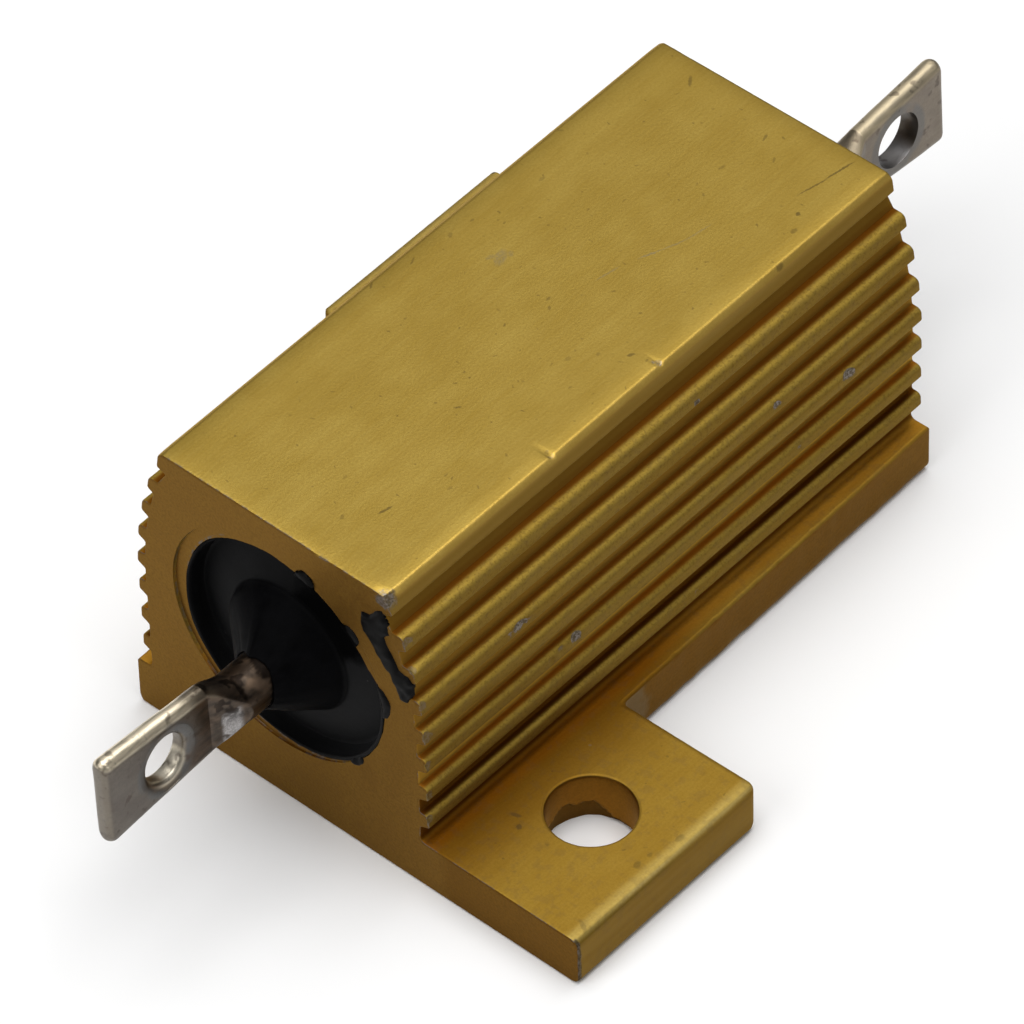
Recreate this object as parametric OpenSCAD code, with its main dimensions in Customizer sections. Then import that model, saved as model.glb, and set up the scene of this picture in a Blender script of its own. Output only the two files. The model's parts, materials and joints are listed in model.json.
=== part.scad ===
// Aluminium-housed wirewound resistor, 25 W size.
// A finned extruded housing with two diagonal mounting tabs holds a black
// silicone moulding, in which a ceramic rod wound with resistance wire ends
// in two pressed steel caps, each with a flattened solder lug.
// Frame: leads along X, +Z up, origin under the middle of the base.

/* [Housing] */
// Length of the extruded housing along the leads
housing_len = 27; // [26.5:0.1:28]
// Height from the mounting face to the flat top
housing_h = 13.9; // [13.6:0.1:14.3]
// Half width over the widest fins
fin_half_w = 6.86; // [6.7:0.02:7.0]
// Half width of the flat top
top_half_w = 5.15; // [5.0:0.05:5.3]
// Radius of the curve that the fin tips follow
side_r = 15.5; // [14:0.5:18]
// Number of fins on each side
fin_count = 7; // [5:1:7]
// Distance from one fin to the next
fin_pitch = 1.42; // [1.38:0.01:1.44]
// Depth of the grooves between the fins
groove_d = 0.45; // [0.3:0.05:0.6]
// Height of the top of the uppermost fin
fin1_z = 12.25; // [12.2:0.05:12.35]

/* [Mounting tabs] */
// Thickness of the base flange and the tabs
tab_t = 2.2; // [2.0:0.05:2.25]
// Width over both tabs
tab_span = 27.5; // [27:0.1:28]
// Length of each tab along the leads
tab_len = 9.6; // [8.5:0.05:10]
// Distance between the mounting holes along the leads
hole_x = 17.2; // [17.2:0.1:18.6]
// Distance between the mounting holes across the leads
hole_y = 20.1; // [19.4:0.1:20.2]
// Diameter of the mounting holes
hole_d = 3.3; // [3.0:0.1:3.6]
// Half width of the trimmed flange where it meets a tab
trim_near = 7.55; // [7.4:0.05:7.9]
// Half width of the trimmed flange on the -Y side at the rear end
trim_rear = 7.3; // [7.1:0.05:7.5]
// Half width of the trimmed flange on the +Y side at the front end
trim_front = 7.1; // [7.0:0.05:7.5]

/* [Bore] */
// Height of the lead axis above the mounting face
axis_z = 7.75; // [7.6:0.05:8.0]
// Sideways offset of the bore from the middle of the housing
axis_y = -0.25; // [-0.3:0.05:0.3]
// Diameter of the bore through the housing
bore_d = 9.4; // [9.0:0.1:9.6]
// Diameter of the shallow counterbore at each end
counter_d = 9.9; // [9.6:0.1:10.1]
// Depth of the shallow counterbore
counter_depth = 0.14; // [0.1:0.02:0.3]

/* [Moulding] */
// Depth of the moulded end face below the sawn housing face, at its rim
face_depth = 0.75; // [0.7:0.05:1.2]
// Depth of the moulded end face where it meets the boss
foot_depth = 0.35; // [0.3:0.05:0.6]
// Wall of the thin lip that lines the mouth of the bore
lip_t = 0.14; // [0.1:0.02:0.3]
// Diameter of the boss around each lead
boss_d = 5.4; // [4.8:0.1:5.8]
// Height of the straight part of the boss above the moulded end face
boss_h = 0.1; // [0.05:0.05:0.2]
// Distance from the housing face to the tip of the boss
boss_tip = 1.9; // [1.5:0.1:2.6]
// Gap between the moulding and what it touches
fit_gap = 0.02; // [0.01:0.01:0.05]

/* [Element] */
// Diameter of the ceramic rod
core_d = 4.6; // [4.0:0.1:4.8]
// Length of the ceramic rod
core_len = 19; // [17:0.5:20]
// Thickness of the end cap sheet
cap_t = 0.35; // [0.35:0.05:0.5]
// Depth of the end cap over the rod
cap_depth = 2.6; // [2:0.1:3]
// Diameter of the resistance wire
wire_d = 0.3; // [0.25:0.01:0.32]
// Number of turns of resistance wire
turns = 14; // [10:1:18]

/* [Lugs] */
// Diameter of the round lead
lead_d = 2.0; // [1.8:0.05:2.1]
// Distance from the middle of the housing to the front lug's tip
front_tip = 23; // [22.5:0.1:23.5]
// Distance from the middle of the housing to the rear lug's tip
rear_tip = 22.35; // [22:0.05:23.5]
// How far the rear blade sits above the lead axis
rear_rise = 0.2; // [0:0.05:0.3]
// Thickness of the flattened blade
blade_t = 0.8; // [0.7:0.05:0.9]
// Width of the blade where it leaves the round lead
blade_root_w = 3.2; // [2.8:0.1:3.3]
// Width of the blade at the tip
blade_tip_w = 3.9; // [3.4:0.1:4.1]
// Diameter of the hole in the blade
lug_hole_d = 2.2; // [1.8:0.05:2.3]
// Distance from the middle of the housing to the front lug's hole
front_hole = 20; // [19.7:0.05:20.3]
// Distance from the middle of the housing to the rear lug's hole
rear_hole = 19.65; // [19.5:0.05:20]
// Small twist of both blades about the lead
blade_twist = -2.2; // [-6:0.2:6]

/* [Hidden] */
$fn = 96;
half = housing_len / 2;
curve_z = 6.95;
tip_h = 0.8;
boss_tip_r = lead_d / 2 + 0.1;
cap_x = core_len / 2 + fit_gap;
cap_r = core_d / 2 + fit_gap + cap_t;
// Rings in one turn of the wire, and the helix radius that keeps the wire's
// flat stretches between two rings off the rod
turn_rings = 16;
wind_r = (core_d / 2 + fit_gap) / cos(180 / turn_rings) + wire_d / 2;

// Half width of the fin envelope at height z: upright below curve_z, then an arc
function env(z) = z <= curve_z ? fin_half_w
    : fin_half_w - side_r + sqrt(side_r * side_r - (z - curve_z) * (z - curve_z));
// Half width of the groove floor at height z
function floor_w(z) = min(env(z) - groove_d, 6.36);
function fin_z(i) = fin1_z - fin_pitch * i;

// Outline of one fin from its top root, round its tip, to its lower root
function fin_pts(i) = let (z = fin_z(i), w = env(z - 0.35)) [
    [floor_w(z) - 0.02, z + 0.02],
    [w - 0.22, z - 0.03],
    [w - 0.07, z - 0.12],
    [w, z - 0.26],
    [env(z - 0.5), z - 0.5],
    [env(z - 0.5) - 0.06, z - 0.59],
    [floor_w(z - tip_h), z - tip_h]];

// Right half of the section, from the middle of the top round to the base
function side_pts() = concat(
    [[0, housing_h], [top_half_w, housing_h],
     [top_half_w + 0.12, housing_h - 0.07], [top_half_w + 0.24, housing_h - 0.19],
     [top_half_w + 0.29, housing_h - 0.4],
     [top_half_w + 0.36, 13.12], [top_half_w + 0.3, 13.02],
     [floor_w(12.9) - 0.04, 12.88]],
    [for (i = [0 : fin_count - 1]) each fin_pts(i)],
    [[6.36, tab_t + 0.22], [6.46, tab_t + 0.1], [6.7, tab_t + 0.02], [7.0, tab_t],
     [tab_span / 2 - 0.5, tab_t], [tab_span / 2 - 0.3, tab_t - 0.04],
     [tab_span / 2 - 0.12, tab_t - 0.16], [tab_span / 2 - 0.02, tab_t - 0.36],
     [tab_span / 2, tab_t - 0.5], [tab_span / 2, 0.4],
     [tab_span / 2 - 0.12, 0.12], [tab_span / 2 - 0.4, 0], [0, 0]]);

module section() {
    p = side_pts();
    polygon(concat(p, [for (i = [len(p) - 2 : -1 : 1]) [-p[i][0], p[i][1]]]));
}

// Lays a section drawn in Y and Z along X between two stations
module along_x(x0, x1)
    translate([x0, 0, 0]) rotate([90, 0, 90]) linear_extrude(height = x1 - x0) children();

// A cylinder or cone on the lead axis between two stations
module on_axis(x0, x1, r0, r1)
    translate([x0, axis_y, axis_z]) rotate([0, 90, 0])
        cylinder(h = x1 - x0, r1 = r0, r2 = r1);

// Removes the flange beyond the tab on the -Y side: a sheared face with a small
// broken edge above and a wider one below
module flange_cut(far) {
    x0 = -half + tab_len;
    slope = atan((trim_near - far) / (housing_len - tab_len));
    translate([x0, -trim_near, 0]) rotate([0, 0, slope]) {
        translate([0, -9, -1]) cube([30, 9, tab_t + 1.3]);
        translate([0, 0, tab_t]) rotate([45, 0, 0])
            translate([0, -0.08, -0.08]) cube([30, 0.16, 0.16]);
        rotate([45, 0, 0]) translate([0, -0.3, -0.3]) cube([30, 0.6, 0.6]);
    }
    translate([x0, -20, -1]) cube([0.8, 20 - trim_near, tab_t + 1.3]);
}

module half_turn() rotate([0, 0, 180]) children();

module housing() color("goldenrod") difference() {
    along_x(-half, half) section();
    flange_cut(trim_rear);
    half_turn() flange_cut(trim_front);
    for (s = [-1, 1]) translate([s * hole_x / 2, s * hole_y / 2, -1])
        cylinder(h = tab_t + 2, d = hole_d);
    on_axis(-half - 1, half + 1, bore_d / 2, bore_d / 2);
    for (s = [-1, 1]) translate([s * half, 0.05, axis_z + 0.05]) rotate([0, 90, 0])
        cylinder(h = counter_depth * 2, d = counter_d, center = true);
}

// Outer body of the moulding at one end: lip, sloping end face, boss and its cone
module moulded_end() {
    x_face = -half + face_depth;
    x_foot = -half + foot_depth;
    x_boss = x_foot - boss_h;
    on_axis(x_foot, x_face, boss_d / 2, bore_d / 2 - fit_gap - lip_t);
    on_axis(x_boss, x_face + 1, boss_d / 2, boss_d / 2);
    on_axis(-half - boss_tip, x_boss, boss_tip_r, boss_d / 2 - 0.12);
    difference() {
        on_axis(-half + counter_depth + fit_gap, x_face + 1, bore_d / 2 - fit_gap, bore_d / 2 - fit_gap);
        on_axis(-half - 1, x_face, bore_d / 2 - fit_gap - lip_t, bore_d / 2 - fit_gap - lip_t);
    }
}

// Mirrors an end about the middle of the housing
module both_ends() { children(); mirror([1, 0, 0]) children(); }

// Space that the wound element and its leads take up inside the moulding
module element_space() {
    g = fit_gap;
    on_axis(-cap_x - cap_t - g, cap_x + cap_t + g, cap_r + g, cap_r + g);
    on_axis(-half - boss_tip - 1, half + boss_tip + 1, lead_d / 2 + g, lead_d / 2 + g);
}

module moulding() color("#1c1c1c") difference() {
    union() {
        on_axis(-half + face_depth, half - face_depth, bore_d / 2 - fit_gap, bore_d / 2 - fit_gap);
        both_ends() moulded_end();
    }
    element_space();
}

module ceramic_core() color("ivory")
    on_axis(-core_len / 2, core_len / 2, core_d / 2, core_d / 2);

// Number of sides of the wire's section
wire_sides = 6;
wind_rings = turns * turn_rings;
wind_x = core_len / 2 - cap_depth + cap_t - wire_d / 2 - 3 * fit_gap;
function wind_angle(k) = 360 * turns * k / wind_rings;
// Six-sided section of the wire at ring k of the helix
function wind_ring(k) = let (a = wind_angle(k), x = -wind_x + 2 * wind_x * k / wind_rings)
    [for (j = [0 : wire_sides - 1]) let (b = 360 * j / wire_sides,
        r = wind_r + wire_d / 2 * cos(b))
        [x + wire_d / 2 * sin(b), axis_y + r * cos(a), axis_z + r * sin(a)]];

// Resistance wire swept along a helix, with its ends at the two caps
module winding() color("silver")
    polyhedron(
        points = [for (k = [0 : wind_rings]) each wind_ring(k)],
        faces = concat(
            [for (k = [0 : wind_rings - 1], j = [0 : wire_sides - 1])
                let (j2 = (j + 1) % wire_sides, p = k * wire_sides, q = p + wire_sides)
                [p + j, q + j, q + j2, p + j2]],
            [[for (j = [0 : wire_sides - 1]) j]],
            [[for (j = [wire_sides - 1 : -1 : 0]) wind_rings * wire_sides + j]]),
        convexity = 10);

// Pressed steel cup over one end of the rod
module end_cap() color("lightsteelblue") difference() {
    on_axis(-cap_x - cap_t, -cap_x - cap_t + cap_depth, cap_r, cap_r);
    on_axis(-cap_x, 0, core_d / 2 + fit_gap, core_d / 2 + fit_gap);
}
module front_end_cap() end_cap();
module rear_end_cap() mirror([1, 0, 0]) end_cap();

// Section of the blade at station x: round-edged, w wide and blade_t thick
module blade_slice(x, w) for (s = [-1, 1])
    translate([x, 0, s * (w - blade_t) / 2]) rotate([0, 90, 0])
        cylinder(h = 0.02, d = blade_t, $fn = 24);

// Lead at the -X end: round wire, pressed flat over a short length into a blade
// with round long edges and a hole broken at both faces. The blade can sit a
// little above the lead axis.
module lug(tip, hole, rise) color("gainsboro") {
    x_tip = -tip;
    x_press = -half - 2.9;
    x_blade = -half - 4.3;
    r = blade_t / 2;
    on_axis(x_press, -cap_x - cap_t, lead_d / 2, lead_d / 2);
    translate([0, axis_y, axis_z + rise]) rotate([blade_twist, 0, 0]) difference() {
        union() {
            hull() {
                translate([x_press, 0, -rise]) rotate([0, 90, 0])
                    cylinder(h = 0.02, d = lead_d, $fn = 32);
                blade_slice(x_blade, blade_root_w);
            }
            hull() {
                blade_slice(x_blade, blade_root_w);
                for (s = [-1, 1]) translate([x_tip + r, 0, s * (blade_tip_w / 2 - r)])
                    sphere(r = r, $fn = 24);
            }
        }
        translate([-hole, 0, 0]) rotate([90, 0, 0]) {
            cylinder(h = 4, d = lug_hole_d, center = true);
            for (s = [0, 1]) mirror([0, 0, s]) translate([0, 0, r - 0.12])
                cylinder(h = 0.5, r1 = lug_hole_d / 2, r2 = lug_hole_d / 2 + 0.5);
        }
    }
}
module front_lug() lug(front_tip, front_hole, 0);
module rear_lug() mirror([1, 0, 0]) lug(rear_tip, rear_hole, rear_rise);

housing();
moulding();
ceramic_core();
winding();
front_end_cap();
rear_end_cap();
front_lug();
rear_lug();
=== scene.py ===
import bpy, bmesh, math, json
import numpy as np
from mathutils import Vector, Matrix


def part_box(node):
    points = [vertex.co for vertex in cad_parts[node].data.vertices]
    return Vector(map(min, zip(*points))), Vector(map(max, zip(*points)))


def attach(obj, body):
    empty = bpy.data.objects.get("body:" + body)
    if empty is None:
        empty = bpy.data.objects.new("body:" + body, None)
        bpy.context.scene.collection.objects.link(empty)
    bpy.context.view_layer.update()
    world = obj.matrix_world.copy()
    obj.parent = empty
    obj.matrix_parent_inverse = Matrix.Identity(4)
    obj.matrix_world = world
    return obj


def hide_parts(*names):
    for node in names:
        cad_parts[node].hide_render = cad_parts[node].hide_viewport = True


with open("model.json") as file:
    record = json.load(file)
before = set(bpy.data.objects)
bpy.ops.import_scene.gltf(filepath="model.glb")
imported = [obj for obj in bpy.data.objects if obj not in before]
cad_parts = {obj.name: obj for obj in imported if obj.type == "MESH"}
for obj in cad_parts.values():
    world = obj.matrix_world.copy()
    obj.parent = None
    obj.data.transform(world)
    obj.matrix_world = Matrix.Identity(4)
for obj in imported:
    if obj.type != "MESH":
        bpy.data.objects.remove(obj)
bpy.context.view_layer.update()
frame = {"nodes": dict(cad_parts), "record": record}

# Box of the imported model, and the sizes that the pieces below are built from.
# Lengths in this file are millimetres until a mesh is made.
REC = frame["record"]
MOUNT = {m["name"]: m for m in REC["mounts"]}


def mm_box(node):
    lo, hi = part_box(node)
    return np.array(lo) * 1000, np.array(hi) * 1000


H_LO, H_HI = mm_box("housing")
HALF = float(H_HI[0])              # half length of the housing
TOP = float(H_HI[2])               # height of the flat top
TAB_Y = float(H_HI[1])             # half width over the tabs
HOLE_R = MOUNT["mounting_holes"]["dims"]["hole_r_mm"]
PCD = MOUNT["mounting_holes"]["dims"]["pcd_mm"]
HOLE_X = 8.6
HOLE_Y = math.sqrt((PCD / 2) ** 2 - HOLE_X ** 2)
F_HOLE = [1000 * c for c in MOUNT["front_lug_hole"]["pos_m"]]
R_HOLE = [1000 * c for c in MOUNT["rear_lug_hole"]["pos_m"]]
AX_Y, AX_Z = F_HOLE[1], F_HOLE[2]  # axis of the leads and of the bore
BORE_R = 4.7
TAB_T = 2.2
TAB_LEN = 9.6
FRONT_TIP = float(mm_box("front_lug")[0][0])
REAR_TIP = float(mm_box("rear_lug")[1][0])
BOSS_TIP = -float(mm_box("moulding")[0][0]) - HALF


# ---------------------------------------------------------------- mesh helpers

def smooth01(t):
    t = np.clip(t, 0, 1)
    return t * t * (3 - 2 * t)


def hash3(ix, iy, iz, seed):
    h = (ix * 374761393 + iy * 668265263 + iz * 2147483647 + seed * 1274126177) & 0xFFFFFFFF
    h = ((h ^ (h >> 13)) * 1274126177) & 0xFFFFFFFF
    h = ((h ^ (h >> 16)) * 2246822519) & 0xFFFFFFFF
    return ((h ^ (h >> 15)) & 0xFFFFFF) / float(0xFFFFFF) * 2 - 1


def vnoise(p, seed=0):
    """Smooth value noise, -1 to 1, at points p (N, 3)."""
    p = np.atleast_2d(np.asarray(p, float))
    i = np.floor(p).astype(np.int64)
    f = p - i
    f = f * f * (3 - 2 * f)
    out = np.zeros(len(p))
    for dx in (0, 1):
        for dy in (0, 1):
            for dz in (0, 1):
                w = (np.where(dx, f[:, 0], 1 - f[:, 0]) * np.where(dy, f[:, 1], 1 - f[:, 1])
                     * np.where(dz, f[:, 2], 1 - f[:, 2]))
                out += w * hash3(i[:, 0] + dx, i[:, 1] + dy, i[:, 2] + dz, seed)
    return out


def fbm(p, octaves=3, seed=0):
    p = np.atleast_2d(np.asarray(p, float))
    out, a = np.zeros(len(p)), 1.0
    for k in range(octaves):
        out += a * vnoise(p * 2 ** k + 17.3 * k, seed + k)
        a *= 0.5
    return out


def ring_mesh(rings, caps=True):
    """Closed mesh from rings (m, n, 3) of matching points, with an n-gon at each end."""
    m, n = rings.shape[:2]
    v = rings.reshape(-1, 3)
    i = np.arange(m - 1)[:, None] * n
    j = np.arange(n)[None, :]
    j2 = (j + 1) % n
    q = np.stack([i + j, i + j2, i + n + j2, i + n + j], -1).reshape(-1, 4)
    faces = q.tolist()
    if caps:
        faces.append(list(range(n - 1, -1, -1)))
        faces.append(list(range((m - 1) * n, m * n)))
    return v, faces


def torus_mesh(rings):
    """Closed mesh from rings (m, n, 3) joined round in both directions."""
    m, n = rings.shape[:2]
    v = rings.reshape(-1, 3)
    i = np.arange(m)[:, None]
    j = np.arange(n)[None, :]
    a, b = i * n, ((i + 1) % m) * n
    j2 = (j + 1) % n
    return v, np.stack([a + j, a + j2, b + j2, b + j], -1).reshape(-1, 4).tolist()


def volume(me):
    me.calc_loop_triangles()
    co = np.zeros(len(me.vertices) * 3); me.vertices.foreach_get("co", co); co = co.reshape(-1, 3)
    t = np.zeros(len(me.loop_triangles) * 3, np.int32)
    me.loop_triangles.foreach_get("vertices", t)
    a, b, c = (co[t.reshape(-1, 3)[:, k]] for k in range(3))
    return float((a * np.cross(b, c)).sum() / 6)


def make(name, v, faces):
    """A mesh object from points in millimetres, with its faces turned outward."""
    me = bpy.data.meshes.new(name)
    me.from_pydata((np.asarray(v) * 0.001).tolist(), [], faces)
    if volume(me) < 0:
        me.flip_normals()
    me.update()
    ob = bpy.data.objects.new(name, me)
    bpy.context.scene.collection.objects.link(ob)
    return ob


def apply_modifiers(ob):
    dg = bpy.context.evaluated_depsgraph_get()
    new = bpy.data.meshes.new_from_object(ob.evaluated_get(dg))
    old = ob.data
    ob.modifiers.clear()
    ob.data = new
    new.name = ob.name
    bpy.data.meshes.remove(old)


def cut(ob, *cutters):
    """Removes each closed cutter from ob."""
    for c in cutters:
        m = ob.modifiers.new("cut", "BOOLEAN")
        m.operation = "DIFFERENCE"
        m.object = c
        m.solver = SOLVER
        apply_modifiers(ob)
        me = c.data
        bpy.data.objects.remove(c)
        bpy.data.meshes.remove(me)


SOLVER = "MANIFOLD" if "MANIFOLD" in [i.identifier for i in bpy.types.BooleanModifier.bl_rna.properties["solver"].enum_items] else "EXACT"


def tidy(ob, angle=35, weighted=True):
    """Welds slivers, shades smooth and keeps edges above angle sharp."""
    me = ob.data
    bm = bmesh.new()
    bm.from_mesh(me)
    bmesh.ops.remove_doubles(bm, verts=bm.verts, dist=2e-7)
    bmesh.ops.dissolve_degenerate(bm, edges=bm.edges, dist=1e-7)
    # slivers the cuts left open are a few thousandths of a millimetre wide
    loose = [v for v in bm.verts if any(len(e.link_faces) != 2 for e in v.link_edges)]
    if loose:
        bmesh.ops.remove_doubles(bm, verts=loose, dist=5e-6)
    bm.to_mesh(me)
    bm.free()
    me.shade_smooth()
    me.set_sharp_from_angle(angle=math.radians(angle))
    if weighted:
        m = ob.modifiers.new("normals", "WEIGHTED_NORMAL")
        m.keep_sharp = True
        m.weight = 80


def lathe(profile, n, centre, axis="z", phase=0.0):
    """Closed cutter or body turned round an axis: profile is [(r, h), ...] from low to high h."""
    pr = np.array(profile, float)
    a = phase + np.arange(n) * 2 * math.pi / n
    r = pr[:, 0][:, None] * np.ones(n)
    h = pr[:, 1][:, None] * np.ones(n)
    c, s = np.cos(a)[None, :] * r, np.sin(a)[None, :] * r
    if axis == "z":
        p = np.stack([c, s, h], -1)
    elif axis == "x":
        p = np.stack([h, c, s], -1)
    else:
        p = np.stack([c, h, s], -1)
    return ring_mesh(p + np.array(centre))


def rounded(pts, seg=5, closed=False):
    """Polyline through (x, y, r) points with each corner rounded to radius r."""
    out = []
    n = len(pts)
    for k, (x, y, r) in enumerate(pts):
        if r <= 0 or (not closed and k in (0, n - 1)):
            out.append((x, y)); continue
        p = np.array([x, y]); a = np.array(pts[k - 1][:2]); b = np.array(pts[(k + 1) % n][:2])
        u, w = a - p, b - p
        lu, lw = np.linalg.norm(u), np.linalg.norm(w)
        u, w = u / lu, w / lw
        ang = math.acos(max(-1, min(1, float(u @ w))))
        if ang > math.pi - 0.02:
            out.append((x, y)); continue
        t = min(r / math.tan(ang / 2), 0.49 * lu, 0.49 * lw)
        r2 = t * math.tan(ang / 2)
        bis = (u + w) / np.linalg.norm(u + w)
        c = p + bis * (r2 / math.sin(ang / 2))
        a0 = math.atan2(*(p + u * t - c)[::-1]); a1 = math.atan2(*(p + w * t - c)[::-1])
        d = (a1 - a0 + math.pi) % (2 * math.pi) - math.pi
        m = max(2, int(round(seg * abs(d) / (math.pi / 2))) + 1)
        for i in range(m + 1):
            g = a0 + d * i / m
            out.append((float(c[0] + r2 * math.cos(g)), float(c[1] + r2 * math.sin(g))))
    return out


# ---------------------------------------------------------------- camera

def camera():
    az, el, roll = math.radians(-48.004), math.radians(46.086), math.radians(-1.565)
    dist, tx, ty = 0.384203, -0.00072, -0.002274
    fwd = -Vector((math.sin(az) * math.cos(el), -math.cos(az) * math.cos(el), math.sin(el)))
    right = fwd.cross(Vector((0, 0, 1))).normalized()
    up = right.cross(fwd)
    r2 = math.cos(roll) * right + math.sin(roll) * up
    u2 = -math.sin(roll) * right + math.cos(roll) * up
    loc = Vector((0, 0, 0.007)) - fwd * dist + r2 * tx + u2 * ty
    cam = bpy.data.cameras.new("camera")
    cam.sensor_width = 36.0
    cam.lens = 380.03
    cam.clip_start = 0.01
    cam.clip_end = 10
    ob = bpy.data.objects.new("camera", cam)
    m = Matrix.Identity(4)
    for i, v in enumerate((r2, u2, -fwd)):
        for j in range(3):
            m[j][i] = v[j]
    for j in range(3):
        m[j][3] = loc[j]
    ob.matrix_world = m
    bpy.context.scene.collection.objects.link(ob)
    bpy.context.scene.camera = ob


camera()

# ---------------------------------------------------------------- housing

FIN_W, SIDE_R, CURVE_Z = 6.86, 15.5, 6.95
FIN_TOPS = [12.26, 10.88, 9.45, 8.02, 6.6, 5.15, 3.73]


def env(z):
    z = np.asarray(z, float)
    return np.where(z <= CURVE_Z, FIN_W,
                    FIN_W - SIDE_R + np.sqrt(np.maximum(SIDE_R ** 2 - (z - CURVE_Z) ** 2, 0)))


def floor_w(z):
    return float(min(env(z) - 0.42, 6.44))


def half_profile(thin):
    """One side of the section from the middle of the top to the middle of the base.
    thin is how much narrower its fins are than the widest."""
    top = [(y, TOP) for y in (0.0, 0.7, 1.4, 2.1, 2.8, 3.5, 4.2, 4.6)]
    side = rounded([(4.75, TOP - 0.002, 0), (5.20, TOP - 0.014, 0.24), (5.44, TOP - 0.18, 0.34), (5.53, 13.06, 0.11), (5.1, 12.90, 0.08)]
                   + [p for z in FIN_TOPS for p in (
                       (floor_w(z), z, 0.07),
                       (float(env(z - 0.35)) - 0.01 - thin, z - 0.01, 0.26),
                       (float(env(z - 0.58)) + 0.01 - thin, z - 0.58, 0.12),
                       (floor_w(z - 0.80), z - 0.76, 0.10))]
                   + [(6.40, TAB_T, 0.22), (7.0, TAB_T, 0)], seg=5)[1:]
    tab = [(y, TAB_T) for y in (7.6, 8.4, 9.2, 10.0, 10.8, 11.6, 12.4)]
    tab += rounded([(13.0, TAB_T, 0), (TAB_Y, TAB_T, 0.5), (TAB_Y, 0, 0.4), (13.0, 0, 0)], seg=8)
    return top + side + tab + [(y, 0.0) for y in (12.0, 10.5, 9, 7.5, 6, 4.5, 3, 1.5)]


right = half_profile(0.0)          # the -Y side, with its widest fins
left = half_profile(0.07)
outline = np.array([(-y, z) for y, z in right] + [(0.0, 0.0)] + [(y, z) for y, z in left[::-1]][:-1])
nxt, prv = np.roll(outline, -1, 0), np.roll(outline, 1, 0)
tang = nxt - prv
tang /= np.maximum(np.linalg.norm(tang, axis=1), 1e-9)[:, None]
nrm = np.stack([-tang[:, 1], tang[:, 0]], 1)
area2 = float((outline[:, 0] * nxt[:, 1] - nxt[:, 0] * outline[:, 1]).sum())
if area2 > 0:
    nrm = -nrm
# nrm points outward; it is checked against a known point on the -Y slab side
k = int(np.argmin(np.abs(outline[:, 0] + TAB_Y) + np.abs(outline[:, 1] - 1.1)))
if nrm[k, 0] > 0:
    nrm = -nrm

# Dents on the fin tips of the -Y side: x, y, z, radius, depth, elongation along x
NICKS = [(-8.35, -6.72, 9.17, 0.20, 0.07, 1.9), (-8.90, -6.70, 9.10, 0.15, 0.06, 1.6),
         (-5.60, -6.84, 6.45, 0.19, 0.08, 1.5), (-6.40, -6.84, 6.45, 0.13, 0.05, 1.8),
         (-6.95, -6.86, 6.36, 0.12, 0.05, 1.4), (1.91, -6.09, 11.81, 0.17, 0.08, 1.0),
         (0.93, -6.86, 3.44, 0.14, 0.06, 1.3), (5.55, -6.72, 9.20, 0.17, 0.08, 1.3),
         (9.40, -6.83, 7.82, 0.22, 0.09, 1.6), (9.00, -6.80, 7.72, 0.13, 0.06, 1.3),
         (10.46, -6.83, 7.82, 0.12, 0.05, 1.6), (6.60, -6.84, 6.30, 0.12, 0.05, 1.5),
         (-13.42, -6.1, 12.05, 0.2, 0.1, 1.0), (-13.45, -6.35, 10.92, 0.2, 0.1, 0.9),
         (-13.45, -6.6, 9.2, 0.22, 0.12, 0.9), (-13.45, -6.8, 7.75, 0.24, 0.13, 0.9),
         (-13.45, -6.85, 6.3, 0.22, 0.12, 0.9), (-13.45, -6.85, 4.8, 0.22, 0.1, 0.9),
         (-13.45, -6.85, 3.6, 0.16, 0.09, 0.9), (-13.45, -5.32, 13.62, 0.34, 0.17, 0.9),
         (0.95, -5.12, 13.80, 0.18, 0.035, 1.2), (-4.86, -5.14, 13.80, 0.2, 0.05, 0.9),
         (13.42, 4.86, 13.85, 0.16, 0.09, 1.0), (13.5, 4.03, 13.9, 0.2, 0.1, 1.0),
         (13.5, 2.58, 13.9, 0.16, 0.08, 1.0), (13.45, 1.89, 13.9, 0.13, 0.07, 1.0),
         (-13.5, 1.6, 13.9, 0.2, 0.05, 1.0), (-13.5, -2.3, 13.9, 0.26, 0.06, 1.0),
         (-13.5, 3.9, 13.9, 0.16, 0.05, 1.0), (-13.5, -0.4, 13.9, 0.16, 0.04, 1.0)]

ends = [13.5, 13.46, 13.42, 13.36, 13.27, 13.15, 12.98, 12.78, 12.5, 12.2]
st = set(np.round(np.arange(-12.0, 12.01, 0.5), 3)) | {s * e for e in ends for s in (-1, 1)}
for n_ in NICKS:
    if abs(n_[0]) < 13:
        w_ = n_[3] * n_[5]
        st |= set(np.round(np.linspace(n_[0] - w_, n_[0] + w_, 9), 3))
st = np.array(sorted(st))
st = st[np.concatenate([[True], np.diff(st) > 0.012])]
st[0], st[-1] = -HALF, HALF

rings = np.zeros((len(st), len(outline), 3))
for i, x in enumerate(st):
    e = HALF - abs(x)
    inset = 0.075 * (1 - math.sqrt(max(0.0, 1 - (1 - min(e / 0.085, 1)) ** 2)))
    yz = outline - nrm * inset
    # the top falls away a little towards both sawn ends
    fall = 0.045 * max(0.0, 1 - e / 0.75) ** 2
    yz = yz.copy()
    yz[:, 1] -= fall * smooth01((outline[:, 1] - 13.3) / 0.5)
    lean = (0.015 * yz[:, 0] - 0.008 * (yz[:, 1] - 7)) * float(smooth01(1 - (x + HALF) / 3.0))
    rings[i, :, 0] = x + lean
    rings[i, :, 1:] = yz
v, f = ring_mesh(rings)

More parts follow.
